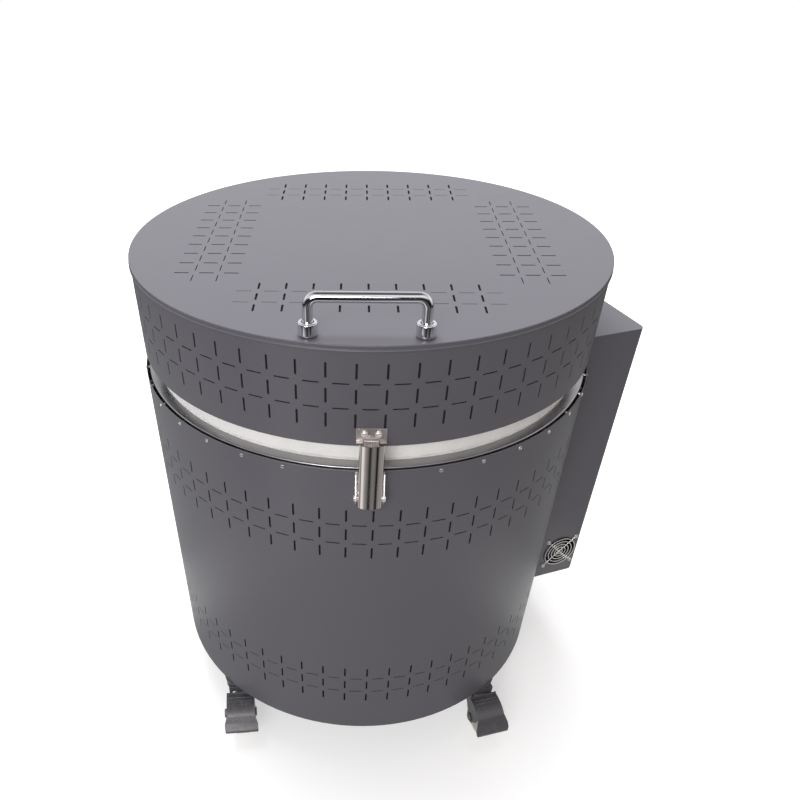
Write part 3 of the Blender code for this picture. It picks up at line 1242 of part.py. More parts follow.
def pedal_form():
    """Profile of the pedal (distance ahead of the axle, height above it), as thick as its wall."""
    inner = WHEEL_RADIUS + PEDAL_GAP
    outer = inner + PEDAL_WALL
    crease = math.radians(PEDAL_CREASE)
    lip_low = PEDAL_LIP_UP - PEDAL_LIP_THICK
    start = Vector((outer * math.sin(crease), outer * math.cos(crease)))
    end = Vector((PEDAL_LIP_AHEAD - PEDAL_LIP_CORNER / 2, PEDAL_LIP_UP))
    sag = Vector((-1.0, -1.0)).normalized() * PEDAL_WALL / 4
    outline = arc(0.0, 0.0, outer, 90 - PEDAL_BACK, 90 - PEDAL_CREASE, 8)
    outline += [tuple(start.lerp(end, 0.5) + sag), tuple(end)]
    outline += [(PEDAL_LIP_AHEAD, PEDAL_LIP_UP - PEDAL_LIP_CORNER / 2),
                (PEDAL_LIP_AHEAD - PEDAL_WALL / 2, lip_low), (PEDAL_LIP_AHEAD - 3 * PEDAL_WALL / 2, lip_low)]
    return outline + arc(0.0, 0.0, inner, 90 - PEDAL_FRONT, 90 - PEDAL_BACK, 8)


def across_wheel(name, outline, width, centre_x=0.0):
    """An outline of (distance ahead of the axle, height), as wide as asked along the axle."""
    piece = plate(name, [(-ahead, height) for ahead, height in outline], width)
    return turn_mesh(piece, (90, "X"), (90, "Z"), Vector((centre_x, 0.0, 0.0)))


def pedal_plan():
    """Plan of the pedal: straight sides that flare out to the rounded corners of the lip."""
    half = PEDAL_WIDTH / 2
    wide = PEDAL_LIP_WIDTH / 2
    corner = PEDAL_LIP_CORNER
    edge = PEDAL_LIP_AHEAD + SEAT
    side = [(half, OVERRUN + WHEEL_RADIUS), (half, -edge + 4 * corner), (wide, -edge + 2 * corner)]
    side += arc(wide - corner, -edge + corner, corner, 0, -90, 3)
    return side + [(-x, y) for x, y in reversed(side)]


def brake_pedal(tag, axle):
    """Moulded pedal over the wheel: ribbed top, rounded belly, flared foot lip and two skirts."""
    inner = WHEEL_RADIUS + PEDAL_GAP
    outer = inner + PEDAL_WALL
    roof = across_wheel("brake_pedal_" + tag, pedal_form(), PEDAL_LIP_WIDTH + OVERRUN)
    roof = shared(roof, plate("plan", list(reversed(pedal_plan())), 4 * WHEEL_RADIUS))
    ribs = []
    for index in range(PEDAL_RIBS + 1):
        angle = math.radians(PEDAL_RIB_START + PEDAL_RIB_STEP * index)
        length = PEDAL_WIDTH * PEDAL_RIB_SHARE
        radius = PEDAL_RIB
        if index == PEDAL_RIBS:
            angle = math.radians(PEDAL_BACK + PEDAL_RIB_STEP / 4)
            length = PEDAL_WIDTH - SEAT
            radius = PEDAL_RIDGE
        place = (0.0, -outer * math.sin(angle), outer * math.cos(angle))
        ribs.append(rod("rib", radius, length, 6, "X", place))
    skirt_line = arc(0.0, 0.0, outer - PEDAL_WALL / 2, 90 - PEDAL_BACK - 1, 90 - PEDAL_CREASE, 6)
    skirt_line += arc(0.0, 0.0, PEDAL_EYE, -35, -175, 6)
    offset = (PEDAL_WIDTH - PEDAL_SKIRT - SEAT) / 2
    skirts = [across_wheel("skirt", skirt_line, PEDAL_SKIRT, side * offset) for side in (-1, 1)]
    pedal = join(roof, *(skirts + ribs))
    bore = rod("axle_bore", AXLE_RADIUS + SEAT, PEDAL_WIDTH + OVERRUN, 12, "X")
    finish(cut(pedal, bore), dark_plastic(), axle)


def caster(tag, turn, yaw, root):
    x, y = caster_place(turn)
    swivel = empty("swivel_" + tag, root, (x, y, 0.0), math.radians(yaw))
    caster_stem(tag, swivel)
    caster_fork(tag, swivel)
    axle = empty("axle_" + tag, swivel, (0.0, -TRAIL, WHEEL_RADIUS))
    caster_wheel(tag, axle)
    caster_axle(tag, axle)
    if tag in BRAKED:
        brake_pedal(tag, axle)


# Assembly

def centre_on_origin(root):
    """Moves the kiln so that the middle of its box, at floor level, is the origin."""
    bpy.context.view_layer.update()
    graph = bpy.context.evaluated_depsgraph_get()
    low = Vector((math.inf, math.inf))
    high = Vector((-math.inf, -math.inf))
    for piece in bpy.data.collections["kiln"].objects:
        solid = piece.evaluated_get(graph)
        for vertex in solid.to_mesh().vertices:
            place = solid.matrix_world @ vertex.co
            low = Vector((min(low.x, place.x), min(low.y, place.y)))
            high = Vector((max(high.x, place.x), max(high.y, place.y)))
        solid.to_mesh_clear()
    middle = (low + high) / 2
    root.location = (-middle.x, -middle.y, 0.0)
    bpy.context.view_layer.update()


def build():
    fresh_scene()
    root = empty("kiln_axis")
    hinge = empty("lid_hinge_axis", root, (0.0, HINGE_Y, HINGE_Z))
    lid_frame = empty("lid_frame", hinge, (0.0, -HINGE_Y, -HINGE_Z))
    front = empty("front_station", root, turn=FRONT_TURN)
    lid_front = empty("lid_front_station", lid_frame, turn=FRONT_TURN)
    station = empty("box_station", root, turn=BOX_TURN)
    for make in (lid_top_plate, lid_band, lid_insulation, handle, lid_hinge_leaf):
        make(lid_frame)
    for make in (body_jacket, rim_ring, insulation_wall, insulation_floor, heating_coils, thermocouple,
                 base_pan, body_hinge_leaf, hinge_pin):
        make(root)
    latch(front, lid_front)
    for make in (control_cover, control_chassis, relay, terminal_block, temperature_controller, power_switch,
                 pilot_lamp, cable_gland, fan):
        make(station)
    for tag, turn, yaw in zip(CASTER_NAMES, CASTER_TURNS, CASTER_YAWS):
        caster(tag, turn, yaw, root)
    centre_on_origin(root)


build()
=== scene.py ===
import json
import math

import bmesh
import bpy
import numpy as np
from mathutils import Matrix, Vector
from mathutils.geometry import delaunay_2d_cdt

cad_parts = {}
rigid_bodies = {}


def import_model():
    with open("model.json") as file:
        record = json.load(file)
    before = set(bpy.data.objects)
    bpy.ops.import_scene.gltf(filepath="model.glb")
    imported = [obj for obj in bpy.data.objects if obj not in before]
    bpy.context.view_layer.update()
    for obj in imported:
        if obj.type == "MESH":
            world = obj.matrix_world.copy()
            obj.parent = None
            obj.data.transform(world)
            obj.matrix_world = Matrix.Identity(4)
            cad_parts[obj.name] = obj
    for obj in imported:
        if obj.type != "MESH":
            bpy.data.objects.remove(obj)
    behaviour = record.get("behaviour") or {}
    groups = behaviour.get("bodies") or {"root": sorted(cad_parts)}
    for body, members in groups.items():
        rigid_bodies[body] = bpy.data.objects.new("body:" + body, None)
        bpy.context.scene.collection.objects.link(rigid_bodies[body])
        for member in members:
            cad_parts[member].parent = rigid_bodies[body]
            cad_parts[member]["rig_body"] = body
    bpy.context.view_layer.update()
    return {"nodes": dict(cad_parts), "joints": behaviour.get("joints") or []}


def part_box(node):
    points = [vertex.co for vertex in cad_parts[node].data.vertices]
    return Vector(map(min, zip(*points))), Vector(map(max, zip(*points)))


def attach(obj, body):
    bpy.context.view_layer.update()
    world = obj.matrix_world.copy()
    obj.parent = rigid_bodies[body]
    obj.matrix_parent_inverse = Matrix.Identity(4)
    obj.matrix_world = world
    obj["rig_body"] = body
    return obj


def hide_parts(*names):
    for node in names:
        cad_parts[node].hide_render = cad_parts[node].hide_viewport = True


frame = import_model()


# Camera.
# One camera fitted to the photograph's slots and outlines. It stands above the kiln's
# front edge and looks down at 42 degrees. The picture was cut from a larger frame, hence the shift.

cap_low, cap_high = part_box("lid_top_plate")
AXIS_X = (cap_low.x + cap_high.x) / 2
AXIS_Y = (cap_low.y + cap_high.y) / 2
KILN_FOOT = (AXIS_X, AXIS_Y, 0.0)
PITCH, YAW, ROLL = 0.7266, -0.0508, -0.0122
CAMERA_FROM_FOOT = (-0.01562, -0.87782, 0.9778)
SENSOR = 36.0
FRAME_PX, FOCAL_PX, MIDDLE_PX = 800.0, 717.5, (320.83, 538.54)
sin_p, cos_p = math.sin(PITCH), math.cos(PITCH)
sin_y, cos_y = math.sin(YAW), math.cos(YAW)
sin_r, cos_r = math.sin(ROLL), math.cos(ROLL)
level_right = np.array([cos_y, -sin_y, 0.0])
view_way = np.array([sin_y * cos_p, cos_y * cos_p, -sin_p])
level_down = np.array([-sin_y * sin_p, -cos_y * sin_p, -cos_p])
right_way = cos_r * level_right - sin_r * level_down
down_way = sin_r * level_right + cos_r * level_down
camera_data = bpy.data.cameras.new("camera")
camera_data.sensor_fit = "HORIZONTAL"
camera_data.sensor_width = SENSOR
camera_data.lens = FOCAL_PX * SENSOR / FRAME_PX
camera_data.shift_x = (FRAME_PX / 2 - MIDDLE_PX[0]) / FRAME_PX
camera_data.shift_y = (MIDDLE_PX[1] - FRAME_PX / 2) / FRAME_PX
camera_data.clip_start = 0.05
camera_data.clip_end = 40.0
camera = bpy.data.objects.new("camera", camera_data)
bpy.context.scene.collection.objects.link(camera)
turn = Matrix(np.column_stack([right_way, -down_way, -view_way]).tolist())
camera.matrix_world = Matrix.Translation(np.add(KILN_FOOT, CAMERA_FROM_FOOT)) @ turn.to_4x4()
bpy.context.scene.camera = camera
bpy.context.scene.view_settings.view_transform = "Standard"


# Studio.
# A white surround, a wide soft lamp overhead and a second before the kiln at the left. The surround
# shows white to the camera and lights the kiln at a lower level, least from the right. Bright metal
# shows it banded like a workshop: bright behind, darker before, where the photographer stands.

FLOOR_HALF = 9.0
LATCH_FOOT = (-0.033, -0.305, 0.0)
NEAR_PAPER = 0.6


def fed(kind, *sources, tree=None, **values):
    """A new node, in the tree of the first socket among its sources or in the given tree.

    Each source goes to the input in its place: a socket is linked, None is left out, and anything
    else is set. A keyword sets one of the node's settings or, with a capital, an input by name."""
    inputs = {key: value for key, value in values.items() if not key.islower()}
    if tree is None:
        tree = next(value for value in (*sources, *inputs.values()) if hasattr(value, "is_linked")).id_data
    node = tree.nodes.new("ShaderNode" + kind)
    for key in filter(str.islower, values):
        setattr(node, key, values[key])
    pairs = list(zip(node.inputs, sources)) + [(node.inputs[key], value) for key, value in inputs.items()]
    for socket, value in pairs:
        if hasattr(value, "is_linked"):
            tree.links.new(value, socket)
        elif value is not None:
            socket.default_value = value
    return node


def reckon(operation, first, second=0.0):
    """One sum of two values, each a socket or a number."""
    return fed("Math", first, second, operation=operation).outputs[0]


def span(value, low, high, to_low=0.0, to_high=1.0):
    """A value moved from one range to another, and held inside it."""
    return fed("MapRange", value, low, high, to_low, to_high).outputs[0]


def banded(value, *stops):
    """A colour ramp over a value; each stop is (position, grey)."""
    ramp = fed("ValToRGB", value)
    while len(ramp.color_ramp.elements) < len(stops):
        ramp.color_ramp.elements.new(0.5)
    for element, (place, grey) in zip(ramp.color_ramp.elements, stops):
        element.position = place
        element.color = (grey, grey, grey, 1.0)
    return ramp.outputs["Color"]


def blended(factor, first, second, way="MIX"):
    """Two colours mixed by a factor."""
    return fed("Mix", factor, *[None] * 5, first, second, data_type="RGBA", blend_type=way).outputs[2]


def by_ray(tree, mirrored, shown, otherwise):
    """One shader for mirror and clear rays, one for the camera's own, and one for all others."""
    rays = fed("LightPath", tree=tree).outputs
    sharp = reckon("MAXIMUM", rays["Is Glossy Ray"], rays["Is Transmission Ray"])
    unseen = fed("MixShader", sharp, otherwise.outputs[0], mirrored.outputs[0])
    return fed("MixShader", rays["Is Camera Ray"], unseen.outputs[0], shown.outputs[0]).outputs[0]


world = bpy.data.worlds.new("studio")
bpy.context.scene.world = world
world.use_nodes = True
tree = world.node_tree
tree.nodes.clear()
heading = fed("SeparateXYZ", fed("TexCoord", tree=tree).outputs["Generated"]).outputs
behind = banded(heading["Z"], (0.0, 0.4), (0.12, 0.6), (0.28, 1.0), (0.45, 1.0), (0.7, 0.6), (0.84, 0.45),
                (0.93, 0.15), (1.0, 0.1))
before = banded(heading["Z"], (0.0, 0.02), (0.2, 0.03), (0.32, 0.06), (0.45, 0.5), (0.6, 1.0), (0.88, 1.0),
                (0.96, 0.2), (1.0, 0.1))
bands = blended(span(heading["Y"], -0.45, 0.1), before, behind)
from_left = blended(span(heading["X"], -0.15, 0.65), (1.04, 1.04, 1.06, 1.0), (0.22, 0.16, 0.13, 1.0))
fed("OutputWorld", by_ray(tree, mirrored=fed("Background", bands, 1.0),
                          shown=fed("Background", (1.0, 1.0, 1.0, 1.0), 1.0, tree=tree),
                          otherwise=fed("Background", from_left, 0.6)))

floor_mesh = bpy.data.meshes.new("studio_floor")
floor_mesh.from_pydata([(-FLOOR_HALF, -FLOOR_HALF, 0), (FLOOR_HALF, -FLOOR_HALF, 0),
                        (FLOOR_HALF, FLOOR_HALF, 0), (-FLOOR_HALF, FLOOR_HALF, 0)], [], [(0, 1, 2, 3)])
studio_floor = bpy.data.objects.new("studio_floor", floor_mesh)
bpy.context.scene.collection.objects.link(studio_floor)
floor_paper = bpy.data.materials.new("studio_paper")
floor_paper.use_nodes = True
tree = floor_paper.node_tree
tree.nodes.clear()
spot = fed("TexCoord", tree=tree).outputs["Object"]
away = fed("VectorMath", spot, operation="LENGTH").outputs["Value"]
paper_glow = fed("Emission", banded(away, (0.0, 0.46), (0.4, 0.55), (0.75, 0.92), (1.0, 1.0)))
paper_lit = fed("BsdfDiffuse", (0.6, 0.6, 0.6, 1.0), tree=tree)
from_latch = fed("VectorMath", spot, LATCH_FOOT, operation="SUBTRACT").outputs[0]
before_latch = fed("VectorMath", from_latch, (1.0, -1.0, 1.0), operation="MULTIPLY").outputs[0]
side_on, ahead_on, _ = fed("SeparateXYZ", before_latch).outputs
stripes = banded(span(reckon("ARCTAN2", side_on, ahead_on), -1.6, 1.6),
                 (0.0, 0.55), (0.08, 0.45), (0.14, 0.2), (0.2, 0.3), (0.225, 1.0), (0.28, 1.0), (0.32, 0.5),
                 (0.37, 0.28), (0.42, 0.18), (0.455, 0.04), (0.5, 0.04), (0.53, 0.2), (0.6, 0.24), (0.64, 0.16),
                 (0.665, 0.02), (0.705, 0.02), (0.735, 0.24), (0.82, 0.36), (0.9, 0.3), (1.0, 0.45))
reach = fed("VectorMath", before_latch, operation="LENGTH").outputs["Value"]
fading = banded(span(reach, 0.0, 5.0), (0.0, 1.0), (0.2, 1.0), (0.3, 0.8), (0.5, 0.25), (0.8, 0.05),
                (1.0, 0.04))
nearby = banded(reach, (0.0, 0.4), (0.42, 0.4), (0.47, 0.95), (1.0, 0.95))
paper_bands = blended(span(reach, NEAR_PAPER + 0.01, NEAR_PAPER - 0.01),
                      blended(1.0, stripes, fading, "MULTIPLY"), nearby)
fed("OutputMaterial", by_ray(tree, mirrored=fed("Emission", paper_bands),
                             shown=fed("AddShader", paper_lit.outputs[0], paper_glow.outputs[0]),
                             otherwise=fed("BsdfDiffuse", (0.34, 0.33, 0.32, 1.0), tree=tree)))
floor_mesh.materials.append(floor_paper)


def soft_lamp(name, from_foot, aim_height, size, watts, colour):
    """A square area lamp at a place from the kiln's foot, turned to face a height on its axis."""
    data = bpy.data.lights.new(name, "AREA")
    data.size, data.energy, data.color = size, watts, colour
    lamp = bpy.data.objects.new(name, data)
    bpy.context.scene.collection.objects.link(lamp)
    back = np.subtract(from_foot, (0.0, 0.0, aim_height))
    back /= np.linalg.norm(back)
    side = np.cross([0.0, 1.0, 0.02], back)
    side /= np.linalg.norm(side)
    turn = Matrix(np.column_stack([side, np.cross(back, side), back]).tolist())
    lamp.matrix_world = Matrix.Translation(np.add(KILN_FOOT, from_foot)) @ turn.to_4x4()
    return lamp


overhead = soft_lamp("overhead_lamp", (-0.2, 0.7, 2.7), 0.6, 1.7, 78.0, (0.99, 0.99, 1.0))
overhead.visible_glossy = False
soft_lamp("front_lamp", (-0.7, -2.6, 1.75), 0.4, 1.4, 40.0, (1.0, 0.98, 0.97))
soft_lamp("right_lamp", (2.3, -0.6, 0.9), 0.4, 1.0, 1.2, (1.0, 0.82, 0.66))


# Slotted sheet steel: shared shapes.
# The lid's cap, the lid's side and the jacket are thin sheets punched with short slots. Each is one
# closed skin: an outer face, an inner face a sheet's thickness behind it, and the cut edges between.

SHEET = 0.0009
SLOT_LENGTH = 0.0162
SLOT_WIDTH = 0.0023
LEVEL_WIDTH = 0.0015
COLUMNS = 120


def place_mesh(name, points, faces, body, materials):
    """A named piece from arrays of points and faces; it rides on a body."""
    mesh = bpy.data.meshes.new(name)
    mesh.from_pydata(points.tolist(), [], faces.tolist())
    piece = bpy.data.objects.new(name, mesh)
    bpy.context.scene.collection.objects.link(piece)
    for one in materials:
        mesh.materials.append(one)
    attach(piece, body)
    return piece


def sheet_skin(name, outer_face, body, node):
    """A painted sheet of even thickness from its outer face: points, normals and triangles.

    The inner face is every point moved back along its normal. Each edge that only one triangle
    uses is a cut edge, and gets a strip from the outer face to the inner one. The outer and inner
    faces keep the given normals, so the slots leave no facets in the shading."""
    kept, index = np.unique(outer_face[2], return_inverse=True)
    points, normals, faces = outer_face[0][kept], outer_face[1][kept], index.reshape(-1, 3)
    count = len(points)
    directed = np.concatenate([faces[:, [0, 1]], faces[:, [1, 2]], faces[:, [2, 0]]])
    _, first, uses = np.unique(np.sort(directed, axis=1), axis=0, return_index=True, return_counts=True)
    start, end = directed[first[uses == 1]].T
    strip = np.concatenate([np.stack([end, start, start + count], 1),
                            np.stack([end, start + count, end + count], 1)])
    all_points = np.concatenate([points, points - SHEET * normals])
    all_faces = np.concatenate([faces, faces[:, ::-1] + count, strip])
    piece = place_mesh(name, all_points, all_faces, body, [grey_coat])
    a, b, c = (all_points[strip[:, i]] for i in range(3))
    flat = np.cross(b - a, c - a)
    flat /= np.maximum(np.linalg.norm(flat, axis=1, keepdims=True), 1e-12)
    loops = np.concatenate([normals[faces].reshape(-1, 3), -normals[faces[:, ::-1]].reshape(-1, 3),
                            np.repeat(flat, 3, axis=0)])
    piece.data.polygons.foreach_set("use_smooth", np.ones(len(all_faces), bool))
    piece.data.normals_split_custom_set(loops.tolist())
    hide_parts(node)


def slot_cell(upright, across):
    """One cell of the slot pattern: the slot's eight points, and triangles round it.

    The cell is a diamond whose corners are its neighbours' corners too. The slot is a thin bar with
    clipped ends. In the triangles the corners come first: right, top, left, bottom."""
    along = SLOT_LENGTH / 2
    straight = along - across
    slot = np.array([(across, -straight), (across, straight), (across / 2, along), (-across / 2, along),
                     (-across, straight), (-across, -straight), (-across / 2, -along), (across / 2, -along)])
    ring = np.array([(0, 5, 4), (0, 1, 6), (0, 6, 5), (1, 7, 6), (1, 2, 8), (1, 8, 7), (2, 9, 8), (2, 3, 10),
                     (2, 10, 9), (3, 11, 10), (3, 0, 4), (3, 4, 11)])
    if upright:
        return slot, ring
    return np.stack([-slot[:, 1], slot[:, 0]], 1), np.where(ring < 4, (ring + 1) % 4, ring)


def drum_side(radius, ring_turn, rings, belts):
    """Outer face of a rolled sheet: points, normals and triangles.

    rings lists (radius, height, outward share of the normal, upward share) from top to bottom,
    and belts lists (index of the ring above, its top row's height, row pitch, turn) for each
    belt of three rows of upright slots with two rows of level slots between. Every ring has as
    many points as there are columns; a belt's are turned to suit its own slots."""
    points, normals, faces = [], [], []

    def on_drum(turn, height, reach=radius, out=1.0, up=0.0):
        """Points at angles and heights on the drum; their normals are kept too."""
        start = sum(len(block) for block in points)
        turn, height = np.broadcast_arrays(turn, height)
        points.append(np.stack([AXIS_X + reach * np.sin(turn), AXIS_Y - reach * np.cos(turn), height],
                               -1).reshape(-1, 3))
        normals.append(np.stack([out * np.sin(turn), -out * np.cos(turn), up + 0 * turn], -1).reshape(-1, 3))
        return start + np.arange(turn.size)

    column = np.arange(COLUMNS)
    turns = column * 2 * np.pi / COLUMNS
    after, before = np.roll(column, -1), np.roll(column, 1)
    even, odd = column[::2], column[1::2]

    def join_rings(upper, lower):
        """Quads between two rings of points, as pairs of triangles."""
        faces.extend([np.stack([upper, lower, lower[after]], 1),
                      np.stack([upper, lower[after], upper[after]], 1)])

    above = None
    for number, (ring_reach, ring_height, out, up) in enumerate(rings):
        ring = on_drum(ring_turn + turns, ring_height, ring_reach, out, up)
        if above is not None:
            join_rings(above, ring)
        above = ring
        for top_row, pitch, belt_turn in (belt[1:] for belt in belts if belt[0] == number):
            lattice = {row: on_drum(belt_turn + turns, top_row - row * pitch / 2) for row in range(-1, 6)}
            join_rings(above, lattice[-1])
            first, second, fifth, last = lattice[-1], lattice[0], lattice[4], lattice[5]
            faces.extend([np.stack([first[even], second[odd], first[odd]], 1),
                          np.stack([first[odd], second[odd], first[after[odd]]], 1),
                          np.stack([last[even], last[odd], fifth[odd]], 1),
                          np.stack([last[odd], last[after[odd]], fifth[odd]], 1)])
            for row in range(5):
                upright = row % 2 == 0
                centre = even if upright else odd
                slot, cell_faces = slot_cell(upright, (SLOT_WIDTH if upright else LEVEL_WIDTH) / 2)
                turn = belt_turn + turns[centre][:, None] + slot[None, :, 0] / radius
                edge = on_drum(turn, top_row - row * pitch / 2 + slot[None, :, 1] + 0 * turn).reshape(-1, 8)
                corners = np.stack([lattice[row][after[centre]], lattice[row - 1][centre],
                                    lattice[row][before[centre]], lattice[row + 1][centre]], 1)
                faces.append(np.concatenate([corners, edge], 1)[:, cell_faces].reshape(-1, 3))
            above = last
    return np.concatenate(points), np.concatenate(normals), np.concatenate(faces)


# Grey powder coat.
# All the painted sheet has one coat: a purplish mid grey with a fine orange peel, a little
# cloudy in tone, and a trace of dust on the faces that look up.

def plus(first, second):
    """Two values added, each a socket or a number."""
    return reckon("ADD", first, second)


def times(first, second):
    """Two values multiplied, each a socket or a number."""
    return reckon("MULTIPLY", first, second)


def noise(where, scale, detail=2.0, roughness=0.5):
    """A noise texture's value at a place."""
    return fed("TexNoise", where, Scale=scale, Detail=detail, Roughness=roughness).outputs[0]


def raised(height, distance, strength=1.0):
    """The normal of a bumped surface."""
    return fed("Bump", Height=height, Distance=distance, Strength=strength).outputs[0]


def facing_up(where):
    """How far the surface looks up, from -1 to 1."""
    return fed("SeparateXYZ", fed("NewGeometry", tree=where.id_data).outputs["Normal"]).outputs["Z"]


def texture_group(name, *knobs):
    """An empty group for a texture: the group, its inputs and the Object coordinates in it.

    It takes a colour, a roughness and the named knobs, and gives a colour, a roughness and a normal."""
    group = bpy.data.node_groups.new(name, "ShaderNodeTree")
    kinds = {"Colour": "NodeSocketColor", "Normal": "NodeSocketVector", "Marks": "NodeSocketVector"}
    sockets = {"INPUT": ("Colour", "Roughness", *knobs), "OUTPUT": ("Colour", "Roughness", "Normal")}
    for way, labels in sockets.items():
        for label in labels:
            group.interface.new_socket(label, in_out=way, socket_type=kinds.get(label, "NodeSocketFloat"))
    return group, group.nodes.new("NodeGroupInput").outputs, fed("TexCoord", tree=group).outputs["Object"]


def results(tree, colour, tone, roughness, normal):
    """Ends a texture group: its colour made lighter or darker by a tone, its roughness and normal."""
    out = tree.nodes.new("NodeGroupOutput")
    shade = fed("VectorMath", colour, operation="SCALE", Scale=tone).outputs[0]
    for socket, value in zip(out.inputs, (shade, roughness, normal)):
        tree.links.new(value, socket)


def finish_with(name, group, colour, roughness, shader_values, **knobs):
    """A material: one Principled shader fed by a texture group with its own values."""
    made = bpy.data.materials.new(name)
    made.use_nodes = True
    tree = made.node_tree
    shader = tree.nodes["Principled BSDF"]
    for key, value in shader_values.items():
        shader.inputs[key].default_value = value
    texture = tree.nodes.new("ShaderNodeGroup")
    texture.node_tree = group
    for key, value in {"Colour": (*colour, 1.0), "Roughness": roughness, **knobs}.items():
        texture.inputs[key].default_value = value
    for result, socket in (("Colour", "Base Color"), ("Roughness", "Roughness"), ("Normal", "Normal")):
        tree.links.new(texture.outputs[result], shader.inputs[socket])
    return made


coat_group, given, where = texture_group("powder_coat_texture", "Peel", "Dust")
cloud = noise(where, 6.0, 3.0)
specks = span(noise(where, 1500.0, 1.0), 0.3, 0.7, -0.04, 0.04)
settled = times(span(noise(where, 38.0, 5.0, 0.65), 0.45, 0.8), span(facing_up(where), 0.75, 0.98))
settled = times(settled, given["Dust"])
results(coat_group, given["Colour"],
        tone=plus(plus(span(cloud, 0.3, 0.7, 0.985, 1.015), specks), times(settled, 0.04)),
        roughness=plus(plus(given["Roughness"], span(cloud, 0.3, 0.7, -0.012, 0.012)), times(settled, 0.05)),
        normal=raised(noise(where, 620.0, 2.0), 0.00006, given["Peel"]))
grey_coat = finish_with("grey_powder_coat", coat_group, (0.116, 0.113, 0.131), 0.37, {"IOR": 1.5},
                        Peel=0.35, Dust=1.0)


# Lid cap.
# A flat disc of sheet with its edge pressed down over the lid's side. Four blocks of slots are
# punched round the middle, each of nine short rows across and two long rows along.

CAP_RADIUS = (cap_high.x - cap_low.x) / 2
LID_TOP = cap_high.z
CAP_CORNER = 0.0012
CAP_FLARE = 0.0005
TOP_PITCH = 0.0285
CROSS_SLOTS = (0.1476, 0.1746, 0.2016)
LONG_SLOTS = (0.1611, 0.1881)

flange = CAP_RADIUS - CAP_FLARE
edge_rings = [(flange - CAP_CORNER - 0.0015, LID_TOP, 0.0, 1.0)]
edge_rings += [(flange - CAP_CORNER + CAP_CORNER * math.cos(a),
                LID_TOP - CAP_CORNER + CAP_CORNER * math.sin(a),
                math.cos(a), math.sin(a)) for a in np.radians([90, 67, 45, 22, 0])]
edge_rings += [(flange, LID_TOP - 0.0038, 1.0, 0.0), (CAP_RADIUS - 0.0002, LID_TOP - 0.0044, 0.7, 0.7),
               (CAP_RADIUS, LID_TOP - 0.0052, 0.8, 0.6), (CAP_RADIUS, cap_low.z, 1.0, 0.0)]
edge_points, edge_normals, edge_faces = drum_side(CAP_RADIUS, 0.0, edge_rings, [])

cross_places = [(i * TOP_PITCH, -place) for i in range(-4, 5) for place in CROSS_SLOTS]
long_places = [((i + 0.5) * TOP_PITCH, -place) for i in range(-5, 5) for place in LONG_SLOTS]
front_block = np.concatenate([np.array(cross_places)[:, None] + slot_cell(True, SLOT_WIDTH / 2)[0],
                              np.array(long_places)[:, None] + slot_cell(False, LEVEL_WIDTH * 0.35)[0]])
quarter = np.array([[0.0, 1.0], [-1.0, 0.0]])
slots = np.concatenate([front_block @ np.linalg.matrix_power(quarter, n) for n in range(4)]).reshape(-1, 2)
flat = np.concatenate([edge_points[:COLUMNS, :2] - KILN_FOOT[:2], slots])
owner = np.concatenate([np.full(COLUMNS, -1), np.arange(len(slots)) // 8])
loops = COLUMNS + np.arange(len(slots)).reshape(-1, 8)
edges = np.stack([loops, np.roll(loops, -1, axis=1)], -1).reshape(-1, 2)
_, _, made_faces, sources, _, _ = delaunay_2d_cdt(
    [tuple(p) for p in flat.tolist()], [tuple(e) for e in edges.tolist()], [], 0, 1e-7)
disc_faces = np.array([s[0] for s in sources])[np.array([f for f in made_faces if len(f) == 3])]
in_slot = (owner[disc_faces] == owner[disc_faces[:, :1]]).all(1) & (owner[disc_faces[:, 0]] >= 0)
disc_faces = disc_faces[~in_slot]
disc_faces = np.where(disc_faces < COLUMNS, disc_faces, disc_faces - COLUMNS + len(edge_points))
slot_points = np.column_stack([slots + KILN_FOOT[:2], np.full(len(slots), LID_TOP)])
cap_face = (np.concatenate([edge_points, slot_points]),
            np.concatenate([edge_normals, np.tile([0.0, 0.0, 1.0], (len(slots), 1))]),
            np.concatenate([edge_faces, disc_faces]))
sheet_skin("lid_cap_punched", cap_face, "lid", "lid_top_plate")


# Lid side.
# Rolled sheet inside the cap's flange, with a hem turned in at its foot. Sixty columns of upright
# slots, three high, with two rows of level slots between them.

def round_box(node):
    """A round CAD piece's radius, foot and top."""
    low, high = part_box(node)
    return (high.x - low.x) / 2, low.z, high.z


BAND_RADIUS, LID_BOTTOM, band_top = round_box("lid_band")
BAND_TURN = math.radians(3.74)
BAND_TOP_ROW = 0.6521
HEM = 0.011
HEM_CORNER = 0.0016
ROW_PITCH = 0.0268

band_rings = [(BAND_RADIUS, band_top, 1.0, 0.0), (BAND_RADIUS, LID_BOTTOM + HEM_CORNER, 1.0, 0.0)]
band_rings += [(BAND_RADIUS - HEM_CORNER + HEM_CORNER * math.cos(a),
                LID_BOTTOM + HEM_CORNER - HEM_CORNER * math.sin(a),
                math.cos(a), -math.sin(a)) for a in np.radians([30, 60, 90])]
band_rings += [(BAND_RADIUS - HEM, LID_BOTTOM, 0.0, -1.0)]
band_face = drum_side(BAND_RADIUS, BAND_TURN, band_rings, [(0, BAND_TOP_ROW, ROW_PITCH, BAND_TURN)])
sheet_skin("lid_side_punched", band_face, "lid", "lid_band")


# Jacket.
# Rolled sheet round the body, open at the top and the bottom, with one belt of slots under its
# top edge and another above its foot.

JACKET_RADIUS, jacket_foot, jacket_top = round_box("body_jacket")
UPPER_ROW, LOWER_ROW = 0.4805, 0.2099

